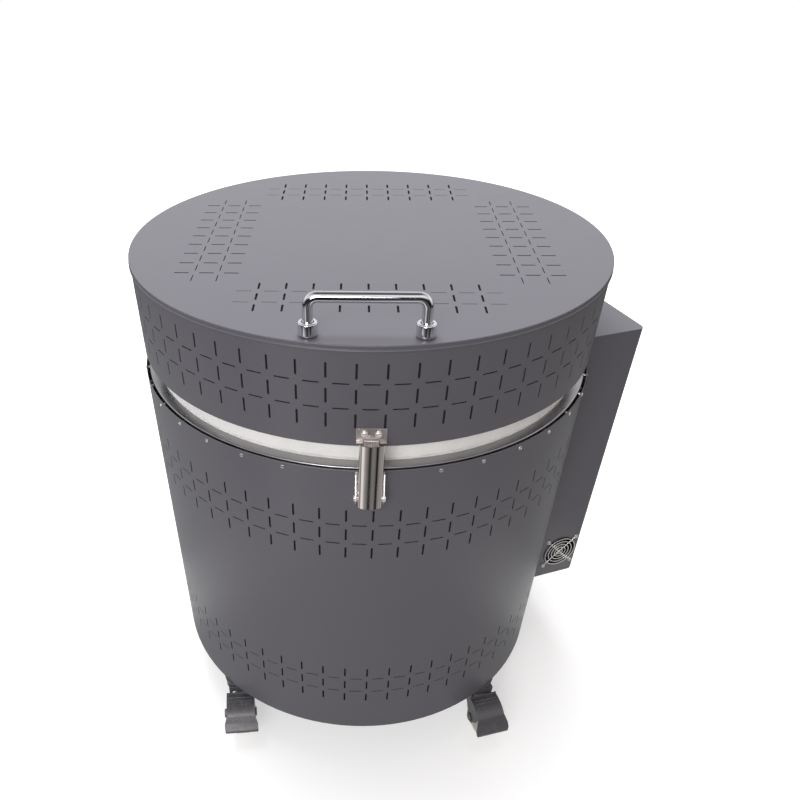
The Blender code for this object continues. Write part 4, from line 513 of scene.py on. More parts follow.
jacket_rings = [(JACKET_RADIUS - 0.0005, jacket_top, 0.4, 0.9),
                (JACKET_RADIUS, jacket_top - 0.0009, 0.75, 0.66), (JACKET_RADIUS, jacket_top - 0.0019, 1.0, 0.0),
                (JACKET_RADIUS, (jacket_top + jacket_foot) / 2, 1.0, 0.0), (JACKET_RADIUS, jacket_foot, 1.0, 0.0)]
jacket_belts = [(2, UPPER_ROW, ROW_PITCH, math.radians(2.29)), (3, LOWER_ROW, ROW_PITCH, math.radians(2.76))]
jacket_face = drum_side(JACKET_RADIUS, math.radians(2.5), jacket_rings, jacket_belts)
sheet_skin("jacket_punched", jacket_face, "body", "body_jacket")


# Ceramic fibre lining.
# Soft white board, vacuum formed: the lid's block with its plug, the grooved wall and the floor
# slab. The outsides, seen only through the slots, are painted near black as painted shade for
# the dark inside the slots.

fibre_group, given, where = texture_group("fibre_texture", "Depth")
tufts = noise(where, 420.0, 5.0, 0.7)
lumps = noise(where, 34.0, 3.0)
results(fibre_group, given["Colour"],
        tone=plus(span(tufts, 0.3, 0.7, 0.94, 1.02), span(lumps, 0.35, 0.7, 0.02, -0.05)),
        roughness=plus(given["Roughness"], span(lumps, 0.3, 0.7, -0.03, 0.03)),
        normal=raised(plus(tufts, times(lumps, 3.0)), 0.0006, given["Depth"]))

white_fibre = finish_with("white_fibre", fibre_group, (0.97, 0.965, 0.95), 0.92,
                          {"Sheen Weight": 0.5}, Depth=0.35)
# A near-black finish for the fibre's outsides, where only the slots show them: painted shade, not a real cloth.
slot_shade_black = finish_with("dark_glass_cloth", fibre_group, (0.012, 0.012, 0.013), 0.9,
                         {}, Depth=0.4)


def smoothed(piece, angle=35.0):
    """Smooth shading, with every edge sharper than the angle kept sharp."""
    piece.data.shade_smooth()
    piece.data.set_sharp_from_angle(angle=math.radians(angle))
    return piece


def shown_as(name, surface, body, material, slot_name, *nodes, angle=35.0):
    """A smooth piece from a surface's points and faces; it stands for the CAD nodes named."""
    # Fibre pieces take the near-black painted slot shade as a second material for their outsides.
    materials = [material, slot_shade_black] if material == white_fibre else [material]
    piece = smoothed(place_mesh(name, *surface, body, materials), angle)
    for node in nodes:
        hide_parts(node)
    return piece


def lathe(profile, steps, centre, along=(0.0, 0.0, 1.0), closed=False):
    """Points and triangles of a turned piece.

    A point of the profile is (radius, distance along the axis). Each one is carried round the
    axis in even steps, and neighbours are joined by triangles; the rings at radius zero close
    to one point. The profile runs down its outer side, and closed joins its end to its start."""
    profile = np.array(profile, float)
    along = np.array(along, float) / np.linalg.norm(along)
    side = np.cross([0.0, 1.0, 0.0] if abs(along[1]) < 0.9 else [1.0, 0.0, 0.0], along)
    side /= np.linalg.norm(side)
    other = np.cross(along, side)
    spin = np.arange(steps) * 2 * np.pi / steps
    way = np.cos(spin)[:, None] * side + np.sin(spin)[:, None] * other
    points = np.array(centre, float) + profile[:, 0, None, None] * way[None] + profile[:, 1, None, None] * along
    points = points.reshape(-1, 3)
    first = np.arange(len(profile) if closed else len(profile) - 1)
    above = first[:, None] * steps + np.arange(steps)
    below = ((first + 1) % len(profile))[:, None] * steps + np.arange(steps)
    faces = np.concatenate([np.stack([above, below, np.roll(below, -1, 1)], -1).reshape(-1, 3),
                            np.stack([above, np.roll(below, -1, 1), np.roll(above, -1, 1)], -1).reshape(-1, 3)])
    return welded(points, faces)


def welded(points, faces):
    """The same surface with points closer than a ten-thousandth of a millimetre made one."""
    _, kept, index = np.unique(np.round(points, 7), axis=0, return_index=True, return_inverse=True)
    faces = index.reshape(-1)[faces]
    whole = (faces[:, 0] != faces[:, 1]) & (faces[:, 1] != faces[:, 2]) & (faces[:, 2] != faces[:, 0])
    return points[kept], faces[whole]


def rounded(corner_x, corner_y, radius, start, end, count=5):
    """Points on an arc about a corner's centre; angles in degrees."""
    angles = np.radians(np.linspace(start, end, count))
    return [(corner_x + radius * math.cos(a), corner_y + radius * math.sin(a)) for a in angles]


def paint_shade_outside(piece, reach, top):
    """Gives the second material, the near-black painted shade seen through the slots, to the faces beyond a radius
    or above a height.
    """
    mesh = piece.data
    centres = np.zeros(len(mesh.polygons) * 3)
    mesh.polygons.foreach_get("center", centres)
    centres = centres.reshape(-1, 3) - [AXIS_X, AXIS_Y, 0.0]
    outside = (np.hypot(centres[:, 0], centres[:, 1]) > reach) | (centres[:, 2] > top)
    mesh.polygons.foreach_set("material_index", outside.astype(np.int32))
    mesh.update()


block_radius, block_foot, block_top = round_box("lid_insulation")
wall_radius, wall_foot, wall_top = round_box("insulation_wall")
slab_radius, slab_foot, slab_top = round_box("insulation_floor")
RING_RADIUS, ring_foot, ring_top = round_box("rim_ring")
RING_WIDTH = 0.0122
PLUG_CLEARANCE = 0.0006
SLAB_REBATE = 0.012
MOUTH_RADIUS = RING_RADIUS - RING_WIDTH
PLUG_RADIUS = MOUTH_RADIUS - PLUG_CLEARANCE
CHAMBER_RADIUS = 0.180

block_profile = [(0.0, block_top), (block_radius, block_top), (block_radius, LID_BOTTOM + 0.0015),
                 (PLUG_RADIUS, LID_BOTTOM + 0.0015), (PLUG_RADIUS, block_foot + 0.003)]
block_profile += rounded(PLUG_RADIUS - 0.003, block_foot + 0.003, 0.003, -15, -90) + [(0.0, block_foot)]
lid_block = shown_as("lid_fibre_block", lathe(block_profile, 120, KILN_FOOT), "lid", white_fibre,
                     "ceramic_fibre", "lid_insulation")
paint_shade_outside(lid_block, 0.270, LID_TOP - 0.003)

coil_boxes = [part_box(f"heating_coil_{n}") for n in (1, 2, 3, 4)]
coil_heights = [(low.z + high.z) / 2 for low, high in coil_boxes]
coil_radius = (coil_boxes[0][1].x - coil_boxes[0][0].x) / 2 - 0.005
GROOVE_HALF = 0.007
GROOVE_DEPTH = CHAMBER_RADIUS + 0.014
wall_profile = [(MOUTH_RADIUS - 0.001, wall_top), (MOUTH_RADIUS - 0.001, ring_top - 0.0045),
                (RING_RADIUS - 0.0025, ring_top - 0.0045), (RING_RADIUS - 0.0025, ring_foot - 0.0003),
                (wall_radius, ring_foot - 0.0003), (wall_radius, wall_foot), (CHAMBER_RADIUS, wall_foot)]
for level in coil_heights:
    middle = level + 0.0017
    lower, upper = middle - GROOVE_HALF, middle + GROOVE_HALF
    wall_profile += [(CHAMBER_RADIUS, lower - 0.001), (CHAMBER_RADIUS + 0.001, lower), (GROOVE_DEPTH, lower),
                     (GROOVE_DEPTH, upper), (CHAMBER_RADIUS + 0.001, upper), (CHAMBER_RADIUS, upper + 0.001)]
wall_profile += rounded(CHAMBER_RADIUS + 0.002, wall_top - 0.002, 0.002, 180, 90)
fibre_wall = shown_as("fibre_wall", lathe(wall_profile, 120, KILN_FOOT, closed=True), "body", white_fibre,
                      "ceramic_fibre", "insulation_wall")
paint_shade_outside(fibre_wall, 0.2785, 2.0)

slab_profile = [(0.0, slab_top), (CHAMBER_RADIUS - 0.001, slab_top),
                (CHAMBER_RADIUS - 0.001, slab_top - SLAB_REBATE), (slab_radius, slab_top - SLAB_REBATE),
                (slab_radius, slab_foot), (0.0, slab_foot)]
floor_slab = shown_as("fibre_floor", lathe(slab_profile, 120, KILN_FOOT), "body", white_fibre, "ceramic_fibre",
                      "insulation_floor")
paint_shade_outside(floor_slab, 0.2775, 2.0)


# Rim ring.
# Stainless ring round the mouth, its flange sloped outwards and turned down into a skirt. It was
# polished on the lathe, so its marks run round it.

MARK_LENGTH = 0.012

steel_group, given, where = texture_group("brushed_texture", "Marks", "Streaks")
fine = noise(given["Marks"], 1400.0, 3.0, 0.6)
broad = noise(given["Marks"], 260.0, 2.0)
smudge = noise(where, 24.0, 3.0)
rough = plus(span(fine, 0.3, 0.7, -0.05, 0.07), span(smudge, 0.3, 0.7, -0.04, 0.06))
results(steel_group, given["Colour"],
        tone=plus(span(fine, 0.3, 0.7, 0.93, 1.04), span(smudge, 0.35, 0.7, 0.02, -0.06)),
        roughness=reckon("MAXIMUM", plus(given["Roughness"], rough), 0.04),
        normal=raised(plus(fine, times(broad, 2.0)), 0.00004, given["Streaks"]))


def along_grain(made, stretch):
    """Feeds a brushed material's marks with Object coordinates, shortened along the marks."""
    tree = made.node_tree
    mapping = fed("Mapping", fed("TexCoord", tree=tree).outputs["Object"], Scale=stretch)
    texture = next(node for node in tree.nodes if node.type == "GROUP")
    tree.links.new(mapping.outputs[0], texture.inputs["Marks"])
    return made


def round_grain(made):
    """Feeds a brushed material's marks with (radius, angle, height) about the kiln's axis."""
    tree = made.node_tree
    x, y, z = fed("SeparateXYZ", fed("TexCoord", tree=tree).outputs["Object"]).outputs
    x, y = reckon("SUBTRACT", x, AXIS_X), reckon("SUBTRACT", y, AXIS_Y)
    reach = reckon("SQRT", plus(times(x, x), times(y, y)))
    place = fed("CombineXYZ", reach, times(reckon("ARCTAN2", x, y), MARK_LENGTH), z)
    texture = next(node for node in tree.nodes if node.type == "GROUP")
    tree.links.new(place.outputs[0], texture.inputs["Marks"])
    return made


ring_steel = round_grain(finish_with("turned_stainless", steel_group, (0.4, 0.39, 0.4), 0.3,
                                     {"Metallic": 1.0}, Streaks=0.5))
RING_SET_IN = 0.0011
ring_outer_top = ring_top - 0.0016
ring_profile = rounded(MOUTH_RADIUS + 0.0004, ring_top - 0.0004, 0.0004, 180, 95, 3)
ring_profile += rounded(RING_RADIUS - RING_SET_IN - 0.0016, ring_outer_top - 0.0016, 0.0016, 84, 0, 8)
ring_profile += [(RING_RADIUS - RING_SET_IN, ring_foot), (RING_RADIUS - RING_SET_IN - 0.0012, ring_foot)]
ring_profile += rounded(RING_RADIUS - RING_SET_IN - 0.0016, ring_outer_top - 0.0016, 0.0004, 0, 84, 5)
ring_profile += [(MOUTH_RADIUS, ring_top - 0.0015)]
shown_as("mouth_ring", lathe(ring_profile, 180, KILN_FOOT, closed=True), "body", ring_steel, "stainless",
         "rim_ring")


# Handle.
# A chrome rod bent to a flat bow, standing in two turned collars that are screwed to the lid
# from inside.

bright_group, given, where = texture_group("plated_texture", "Ripple")
haze = noise(where, 160.0, 4.0, 0.6)
results(bright_group, given["Colour"], tone=span(haze, 0.3, 0.75, 1.0, 0.94),
        roughness=plus(given["Roughness"], span(haze, 0.4, 0.8, 0.0, 0.07)),
        normal=raised(noise(where, 55.0, 1.0), 0.0006, given["Ripple"]))
chrome = finish_with("chrome_plate", bright_group, (0.76, 0.76, 0.81), 0.05,
                     {"Metallic": 1.0}, Ripple=0.2)


def rod_along(path, across, radius, sides, closed=False):
    """Points and triangles of a round rod along a path.

    At each point the section's first direction is the given one made square to the path, and the
    second is the path's direction crossed with it. An open rod's ends are closed by one point."""
    path, across = np.array(path, float), np.broadcast_to(np.array(across, float), np.shape(path))
    if closed:
        ahead_way = np.roll(path, -1, 0) - np.roll(path, 1, 0)
    else:
        ahead_way = np.gradient(path, axis=0)
    ahead_way /= np.linalg.norm(ahead_way, axis=1, keepdims=True)
    first = across - ahead_way * np.sum(across * ahead_way, 1, keepdims=True)
    first /= np.linalg.norm(first, axis=1, keepdims=True)
    second = np.cross(ahead_way, first)
    spin = np.arange(sides) * 2 * np.pi / sides
    ring = np.cos(spin)[None, :, None] * first[:, None] + np.sin(spin)[None, :, None] * second[:, None]
    points = (path[:, None] + radius * ring).reshape(-1, 3)
    count = len(path)
    start = np.arange(count if closed else count - 1)
    here = start[:, None] * sides + np.arange(sides)
    after = ((start + 1) % count)[:, None] * sides + np.arange(sides)
    faces = [np.stack([here, np.roll(here, -1, 1), after], -1).reshape(-1, 3),
             np.stack([np.roll(here, -1, 1), np.roll(after, -1, 1), after], -1).reshape(-1, 3)]
    if not closed:
        ends = np.array([path[0], path[-1]])
        loop = np.arange(sides)
        last = (count - 1) * sides + loop
        faces.append(np.stack([np.roll(loop, -1), loop, np.full(sides, len(points))], 1))
        faces.append(np.stack([last, np.roll(last, -1), np.full(sides, len(points) + 1)], 1))
        points = np.concatenate([points, ends])
    return points, np.concatenate(faces)


def together(parts):
    """Several surfaces as one list of points and one of triangles."""
    points, faces, start = [], [], 0
    for some_points, some_faces in parts:
        points.append(some_points)
        faces.append(some_faces + start)
        start += len(some_points)
    return np.concatenate(points), np.concatenate(faces)


bar_low, bar_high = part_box("handle_bar")
BAR_RADIUS = (bar_high.y - bar_low.y) / 2
BAR_BEND = 0.009
bar_y = (bar_low.y + bar_high.y) / 2
foot_left, foot_right = bar_low.x + BAR_RADIUS, bar_high.x - BAR_RADIUS
bar_z = bar_high.z - BAR_RADIUS
lift_steps = np.linspace(bar_low.z + 0.006, bar_z - BAR_BEND - 0.004, 4)
bow = [(foot_left, bar_low.z)] + [(foot_left, z) for z in lift_steps]
bow += rounded(foot_left + BAR_BEND, bar_z - BAR_BEND, BAR_BEND, 180, 90, 14)
bow += [(x, bar_z) for x in np.linspace(foot_left + BAR_BEND + 0.006, foot_right - BAR_BEND - 0.006, 7)]
bow += rounded(foot_right - BAR_BEND, bar_z - BAR_BEND, BAR_BEND, 90, 0, 14)
bow += [(foot_right, z) for z in lift_steps[::-1]] + [(foot_right, bar_low.z)]
bow_path = np.array([(x, bar_y, z) for x, z in bow])
shown_as("handle_bow", rod_along(bow_path, (0.0, 1.0, 0.0), BAR_RADIUS, 32), "lid", chrome, "chrome",
         "handle_bar", angle=50.0)
for side, foot_x in (("left", foot_left), ("right", foot_right)):
    collar_low, collar_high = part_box(f"handle_collar_{side}")
    reach = (collar_high.x - collar_low.x) / 2
    tall = collar_high.z - collar_low.z
    collar_profile = [(BAR_RADIUS + 0.0003, tall - 0.0012), (BAR_RADIUS + 0.0009, tall)]
    collar_profile += rounded(reach - 0.0016, tall - 0.0016, 0.0016, 90, 0, 6)
    collar_profile += [(reach, 0.0016), (reach - 0.0004, 0.0013), (reach - 0.0004, 0.0006), (reach - 0.0008, 0.0),
                       (BAR_RADIUS + 0.0003, 0.0)]
    collar = lathe(collar_profile, 48, (foot_x, bar_y, collar_low.z), closed=True)
    shown_as(f"handle_foot_{side}", collar, "lid", chrome, "chrome", f"handle_collar_{side}", angle=40.0)


# Latch.
# A stainless over-centre latch: base on the jacket, polished channel lever, draw strap and a
# keeper held to the lid by two pan-head screws.

def eased(node, name, width, material, segments=2, angle=32.0):
    """A CAD piece with its sharp edges rounded, so that they catch the light; it stands for it."""
    mesh = frame["nodes"][node].data.copy()
    mesh.name = name
    work = bmesh.new()
    work.from_mesh(mesh)
    bmesh.ops.remove_doubles(work, verts=work.verts, dist=0.000002)
    bmesh.ops.dissolve_limit(work, angle_limit=math.radians(1.0), verts=work.verts, edges=work.edges)
    work.to_mesh(mesh)
    work.free()
    mesh.materials.clear()
    mesh.materials.append(material)
    piece = bpy.data.objects.new(name, mesh)
    bpy.context.scene.collection.objects.link(piece)
    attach(piece, frame["nodes"][node]["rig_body"])
    smoothed(piece, angle)
    bevel = piece.modifiers.new("edges", "BEVEL")
    bevel.width = width
    bevel.segments = segments
    bevel.limit_method = "ANGLE"
    bevel.angle_limit = math.radians(angle)
    bevel.harden_normals = True
    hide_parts(node)
    return piece


def points_of(mesh):
    """A mesh's points as an array."""
    points = np.zeros(len(mesh.vertices) * 3)
    mesh.vertices.foreach_get("co", points)
    return points.reshape(-1, 3)


def move_to(mesh, points):
    """Puts a mesh's points in new places."""
    mesh.vertices.foreach_set("co", points.ravel())
    mesh.update()


plate_steel = along_grain(finish_with("brushed_stainless", steel_group, (0.58, 0.54, 0.53), 0.3,
                                      {"Metallic": 0.75}, Streaks=0.6), (1.0, 1.0, 0.03))
strap_steel = along_grain(finish_with("satin_stainless", steel_group, (0.95, 0.9, 0.89), 0.22,
                                      {"Metallic": 0.55}, Streaks=0.3), (1.0, 1.0, 0.03))
lever_steel = along_grain(finish_with("polished_stainless", steel_group, (0.72, 0.66, 0.63), 0.06,
                                      {"Metallic": 1.0}, Streaks=0.06), (1.0, 1.0, 0.02))
eased("latch_base", "latch_channel", 0.0003, strap_steel)
eased("latch_keeper", "latch_catch", 0.0003, plate_steel)
draw_strap = eased("latch_strap", "latch_draw_strap", 0.0003, strap_steel)
strap_points = points_of(draw_strap.data)
LOOP_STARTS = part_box("latch_keeper")[0].z + 0.0012
LOOP_LENGTH = 0.32
in_loop = strap_points[:, 2] > LOOP_STARTS
strap_points[in_loop, 2] = LOOP_STARTS + (strap_points[in_loop, 2] - LOOP_STARTS) * LOOP_LENGTH
move_to(draw_strap.data, strap_points)
eased("latch_lever", "latch_handle", 0.0003, lever_steel, 2, 28.0)

FRONT_TURN = math.radians(1.1)


def front_point(across, out, height):
    """A point on the latch's station: across it, out from the kiln's axis, and up."""
    return (AXIS_X + out * math.sin(FRONT_TURN) + across * math.cos(FRONT_TURN),
            AXIS_Y - out * math.cos(FRONT_TURN) + across * math.sin(FRONT_TURN), height)


def pan_head(radius, rise, socket):
    """Profile of a pan-head screw with a socket in its top, from the socket's floor outwards."""
    return ([(0.0, rise - socket * 0.8), (socket * 0.75, rise - socket * 0.8), (socket, rise)]
            + rounded(radius - rise * 0.7, rise * 0.3, rise * 0.7, 90, 0, 5) + [(radius, 0.0), (0.0, 0.0)])


_, keeper_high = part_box("latch_keeper")
front_way = (math.sin(FRONT_TURN), -math.cos(FRONT_TURN), 0.0)
SEAT, KEEPER_SHEET = 0.0003, 0.0012
KEEPER_FACE = BAND_RADIUS + SEAT + KEEPER_SHEET
keeper_screws = [lathe(pan_head(0.0036, 0.0025, 0.0013), 24,
                       front_point(side * 0.007, KEEPER_FACE, keeper_high.z - 0.0062), front_way)
                 for side in (-1, 1)]
shown_as("keeper_screws", together(keeper_screws), "lid", strap_steel, "stainless")
base_low, base_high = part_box("latch_base")
base_screws = [lathe(pan_head(0.0028, 0.0016, 0.001), 20, front_point(0.0, JACKET_RADIUS + 0.0015, z), front_way)
               for z in (base_high.z - 0.006, base_low.z + 0.006)]
shown_as("latch_base_screws", together(base_screws), "body", strap_steel, "stainless")


# Jacket rivets.
# Pop rivets of bright aluminium every ten degrees under the jacket's edge, each with its hole. They
# hold the rim ring's skirt, and the latch takes the place of the two at the front.

RIVET_RADIUS = 0.0024
RIVET_RISE = 0.0013
RIVET_HOLE = 0.0011
RIVET_HEIGHT = 0.5359
RIVET_SHANK = 0.0045
rivet_alloy = finish_with("rivet_alloy", bright_group, (0.6, 0.58, 0.58), 0.3,
                          {"Metallic": 0.8}, Ripple=0.2)
rivet_profile = [(0.0, -RIVET_SHANK), (RIVET_HOLE, -RIVET_SHANK), (RIVET_HOLE, RIVET_RISE - 0.0003),
                 (RIVET_HOLE + 0.0003, RIVET_RISE)]
rivet_profile += rounded(RIVET_RADIUS - 0.0009, RIVET_RISE - 0.0009, 0.0009, 80, 10, 4) + [(RIVET_RADIUS, 0.0)]
rivet_profile += [(RIVET_HOLE + 0.0007, 0.0), (RIVET_HOLE + 0.0007, -RIVET_SHANK - 0.0004),
                  (0.0, -RIVET_SHANK - 0.0004)]
rivet_heads = []
for turn in np.radians([-0.7 + side * (17 + 10 * n) for side in (-1, 1) for n in range(17)]):
    outward = np.array([math.sin(turn), -math.cos(turn), 0.0])
    seat = np.array([AXIS_X, AXIS_Y, RIVET_HEIGHT]) + outward * (JACKET_RADIUS - 0.0001)
    rivet_heads.append(lathe(rivet_profile, 14, seat, outward))
shown_as("jacket_rivets", together(rivet_heads), "body", rivet_alloy, "zinc", angle=45.0)


# Rear hinge.
# Two zinc-plated leaves formed to the shells and riveted on, with a knuckle each side of the
# lid's own and a pin through all three.

zinc_group, given, where = texture_group("zinc_texture", "Spangle")
crystals = fed("TexVoronoi", where, Scale=170.0).outputs["Distance"]
blotch = noise(where, 60.0, 3.0)
results(zinc_group, given["Colour"],
        tone=plus(span(blotch, 0.3, 0.7, 0.9, 1.04), times(crystals, given["Spangle"])),
        roughness=plus(given["Roughness"], span(blotch, 0.3, 0.7, -0.06, 0.08)),
        normal=raised(noise(where, 700.0, 2.0), 0.00005, 0.4))
zinc_plate = finish_with("zinc_plate", zinc_group, (0.55, 0.56, 0.57), 0.34,
                         {"Metallic": 1.0}, Spangle=0.1)
eased("lid_hinge_leaf", "hinge_leaf_upper", 0.0005, zinc_plate)
eased("body_hinge_leaf", "hinge_leaf_lower", 0.0005, zinc_plate)
eased("hinge_pin", "hinge_pin_turned", 0.0006, zinc_plate)


def domes_on_drum(turns, height, radius, reach, rise, rings=4, sides=16):
    """Round heads on the drum: circles that shrink as they rise, the last one a point.

    A head's circle k has radius reach*cos(k) and stands rise*sin(k) off the sheet."""
    lift = np.linspace(0, np.pi / 2, rings + 1)[:-1]
    spin = np.arange(sides) * 2 * np.pi / sides
    across = (reach * np.cos(lift)[:, None] * np.cos(spin)).ravel()
    up = (reach * np.cos(lift)[:, None] * np.sin(spin)).ravel()
    out = np.repeat(rise * np.sin(lift), sides)
    across, up, out = (np.append(v, end) for v, end in ((across, 0.0), (up, 0.0), (out, rise)))
    ring = np.arange(sides)
    quads = [np.stack([k * sides + ring, k * sides + np.roll(ring, -1), (k + 1) * sides + np.roll(ring, -1),
                       (k + 1) * sides + ring], 1) for k in range(rings - 1)]
    quads = np.concatenate(quads)
    tip = rings * sides
    triangles = np.concatenate([quads[:, [0, 1, 2]], quads[:, [0, 2, 3]],
                                np.stack([(rings - 1) * sides + ring, (rings - 1) * sides + np.roll(ring, -1),
                                          np.full(sides, tip)], 1),
                                np.stack([np.full(sides - 2, 0), ring[2:], ring[1:-1]], 1)])
    turn = turns[:, None] + across[None] / radius
    reach_out = radius + out[None] - 0.0002 * (out[None] == 0)
    points = np.stack([AXIS_X + reach_out * np.sin(turn), AXIS_Y - reach_out * np.cos(turn),
                       height + up[None] + 0 * turn], -1).reshape(-1, 3)
    faces = (triangles[None] + (np.arange(len(turns)) * (tip + 1))[:, None, None]).reshape(-1, 3)
    return points, faces


RIVET_ARCS = np.array([-0.048, -0.032, 0.032, 0.048])
for body, shell, levels in (("lid", BAND_RADIUS, (0.5805, 0.6115)),
                            ("body", JACKET_RADIUS, (0.4975, 0.5175))):
    face = shell + 0.0033
    parts = [domes_on_drum(np.pi + RIVET_ARCS / face, level, face, 0.0042, 0.0022) for level in levels]
    shown_as(f"hinge_rivets_{body}", together(parts), body, zinc_plate, "zinc", angle=60.0)


# Heating coils.
# Resistance wire wound on a rod and pulled open, one ring in each groove of the wall. Both tails
# go out through the wall at the rear. The wire is dull and brown from firing.

fired_wire = along_grain(finish_with("fired_resistance_wire", steel_group, (0.3, 0.265, 0.235), 0.55,
                                     {"Metallic": 1.0}, Streaks=0.3), (1.0, 1.0, 1.0))
WIRE_RADIUS = 0.0008
WINDING_RADIUS = 0.0042
WINDING_PITCH = 0.004
TAIL_GAP = 0.014
TAIL_REACH = 0.022


def wound_ring(radius, height):
    """A helix bent round the kiln's axis, its two tails straight outwards.

    The turn angle t runs once round, short of a gap at the rear. The wire's centre stands off the
    ring's by the winding's radius, turning once for each pitch of the ring's length."""
    gap = TAIL_GAP / radius / 2
    turns = round(2 * np.pi * radius / WINDING_PITCH)
    t = np.linspace(np.pi / 2 + gap, 5 * np.pi / 2 - gap, turns * 10 + 1)
    wind = np.linspace(0, 2 * np.pi * turns, len(t))
    reach = radius + WINDING_RADIUS * np.cos(wind)
    path = np.stack([AXIS_X + reach * np.cos(t), AXIS_Y + reach * np.sin(t),
                     height + WINDING_RADIUS * np.sin(wind)], 1)
    tails = []
    for end, follow in ((0, 1), (-1, -1)):
        way = np.array([math.cos(t[end]), math.sin(t[end]), 0.0])
        tails.append(path[end] + way * np.array([TAIL_REACH, TAIL_REACH / 2, 0.002])[::follow][:, None])
    path = np.concatenate([tails[0], path, tails[1]])
    return rod_along(path, (0.0, 0.0, 1.0), WIRE_RADIUS, 5)


for number, level in enumerate(coil_heights, 1):
    shown_as(f"wound_element_{number}", wound_ring(coil_radius, level), "body", fired_wire, "element_wire",
             f"heating_coil_{number}", angle=80.0)

sheath_fibre = finish_with("ceramic_sheath", fibre_group, (0.78, 0.74, 0.66), 0.6,
                           {}, Depth=0.15)
eased("thermocouple", "thermocouple_sheath", 0.0006, sheath_fibre)


# Control box.
# A folded sheet cover with rounded upright corners, in the kiln's own coat, over a plated chassis
# that carries the relay and the terminals. Its outer face has the controller, switch and lamp.

eased("control_cover", "control_box_cover", 0.0009, grey_coat, 3)
frame["nodes"]["control_chassis"].data.materials[0] = zinc_plate
frame["nodes"]["relay_heat_sink"].data.materials[0] = zinc_plate

moulded_group, given, where = texture_group("moulded_texture", "Grain", "Dust")
rubbed = noise(where, 130.0, 4.0, 0.6)
settled = times(span(facing_up(where), 0.1, 0.9), span(noise(where, 70.0, 5.0, 0.65), 0.4, 0.75, 0.2, 1.0))
settled = times(settled, given["Dust"])
results(moulded_group, given["Colour"], tone=plus(span(rubbed, 0.3, 0.7, 0.93, 1.05), settled),
        roughness=plus(plus(given["Roughness"], span(rubbed, 0.3, 0.7, -0.06, 0.06)), times(settled, 0.4)),
        normal=raised(noise(where, 1900.0, 2.0), 0.00005, given["Grain"]))

black_moulding = finish_with("black_moulding", moulded_group, (0.02, 0.02, 0.021), 0.38,
                             {"IOR": 1.5}, Grain=0.5, Dust=0.1)
red_moulding = finish_with("red_moulding", moulded_group, (0.5, 0.022, 0.018), 0.2,
                           {"IOR": 1.5}, Grain=0.08, Dust=0.03)
key_moulding = finish_with("grey_key_rubber", moulded_group, (0.28, 0.29, 0.31), 0.62,
                           {"IOR": 1.45}, Grain=0.5, Dust=0.05)
terminal_moulding = finish_with("cream_terminal_moulding", moulded_group, (0.66, 0.61, 0.5), 0.4,
                                {"IOR": 1.5}, Grain=0.3, Dust=0.05)
eased("temperature_controller", "controller_case", 0.0004, black_moulding)
eased("power_switch", "switch_body", 0.0004, black_moulding)
eased("power_rocker", "switch_rocker", 0.0004, red_moulding, 3)
eased("cable_gland", "supply_gland", 0.0005, black_moulding)
eased("terminal_block", "terminal_strip", 0.0004, terminal_moulding)
frame["nodes"]["solid_state_relay"].data.materials[0] = black_moulding
for number in range(1, 5):
    eased(f"controller_key_{number}", f"key_cap_{number}", 0.0005, key_moulding, 3)


def joint_named(name):
    """A joint's axis and its place, as arrays."""
    joint = next(j for j in frame["joints"] if j["name"] == name)
    return np.array(joint["axis"]), np.array(joint.get("pos_m", (0.0, 0.0, 0.0)))


box_out = -joint_named("controller_key_1_press")[0]
box_out[2] = 0.0
box_across = np.array([-box_out[1], box_out[0], 0.0])
controller_points = points_of(frame["nodes"]["temperature_controller"].data)
controller_face = (controller_points @ box_out).max()
controller_middle = controller_points[np.isclose(controller_points @ box_out, controller_face, atol=0.002)]
window_across = (controller_middle @ box_across).mean()
window_height = (controller_middle[:, 2].max() + controller_middle[:, 2].min()) / 2 + 0.008
WINDOW_HALF_WIDTH = 0.0277
WINDOW_HALF_HEIGHT = 0.0147
WINDOW_SUNK = 0.0007
WINDOW_CORNER = 0.0015
window_outline = []
for corner_x, corner_y, start in ((1, 1, 0), (-1, 1, 90), (-1, -1, 180), (1, -1, 270)):
    window_outline += rounded(corner_x * (WINDOW_HALF_WIDTH - WINDOW_CORNER),
                              corner_y * (WINDOW_HALF_HEIGHT - WINDOW_CORNER), WINDOW_CORNER, start, start + 90, 4)
window_outline = np.array(window_outline)
ring = (window_across + window_outline[:, :1]) * box_across + window_outline[:, 1:] * [0.0, 0.0, 1.0]
levels = [controller_face - WINDOW_SUNK + 0.0001, controller_face - WINDOW_SUNK + 0.0004]
window_points = np.concatenate([ring + box_out * level + [0.0, 0.0, window_height] for level in levels])
loop = np.arange(len(ring))
following = np.roll(loop, -1)
front_faces = np.stack([np.zeros(len(ring) - 2, int), loop[1:-1], loop[2:]], 1)
window_faces = np.concatenate([front_faces + len(ring), front_faces[:, ::-1],
                               np.stack([loop, following, loop + len(ring)], 1),
                               np.stack([following, following + len(ring), loop + len(ring)], 1)])
window_glass = finish_with("smoked_window", moulded_group, (0.012, 0.008, 0.009), 0.08,
                           {"IOR": 1.5, "Coat Weight": 0.6}, Grain=0.0, Dust=0.04)
shown_as("controller_window", (window_points, window_faces), "body", window_glass, "black_plastic", angle=40.0)

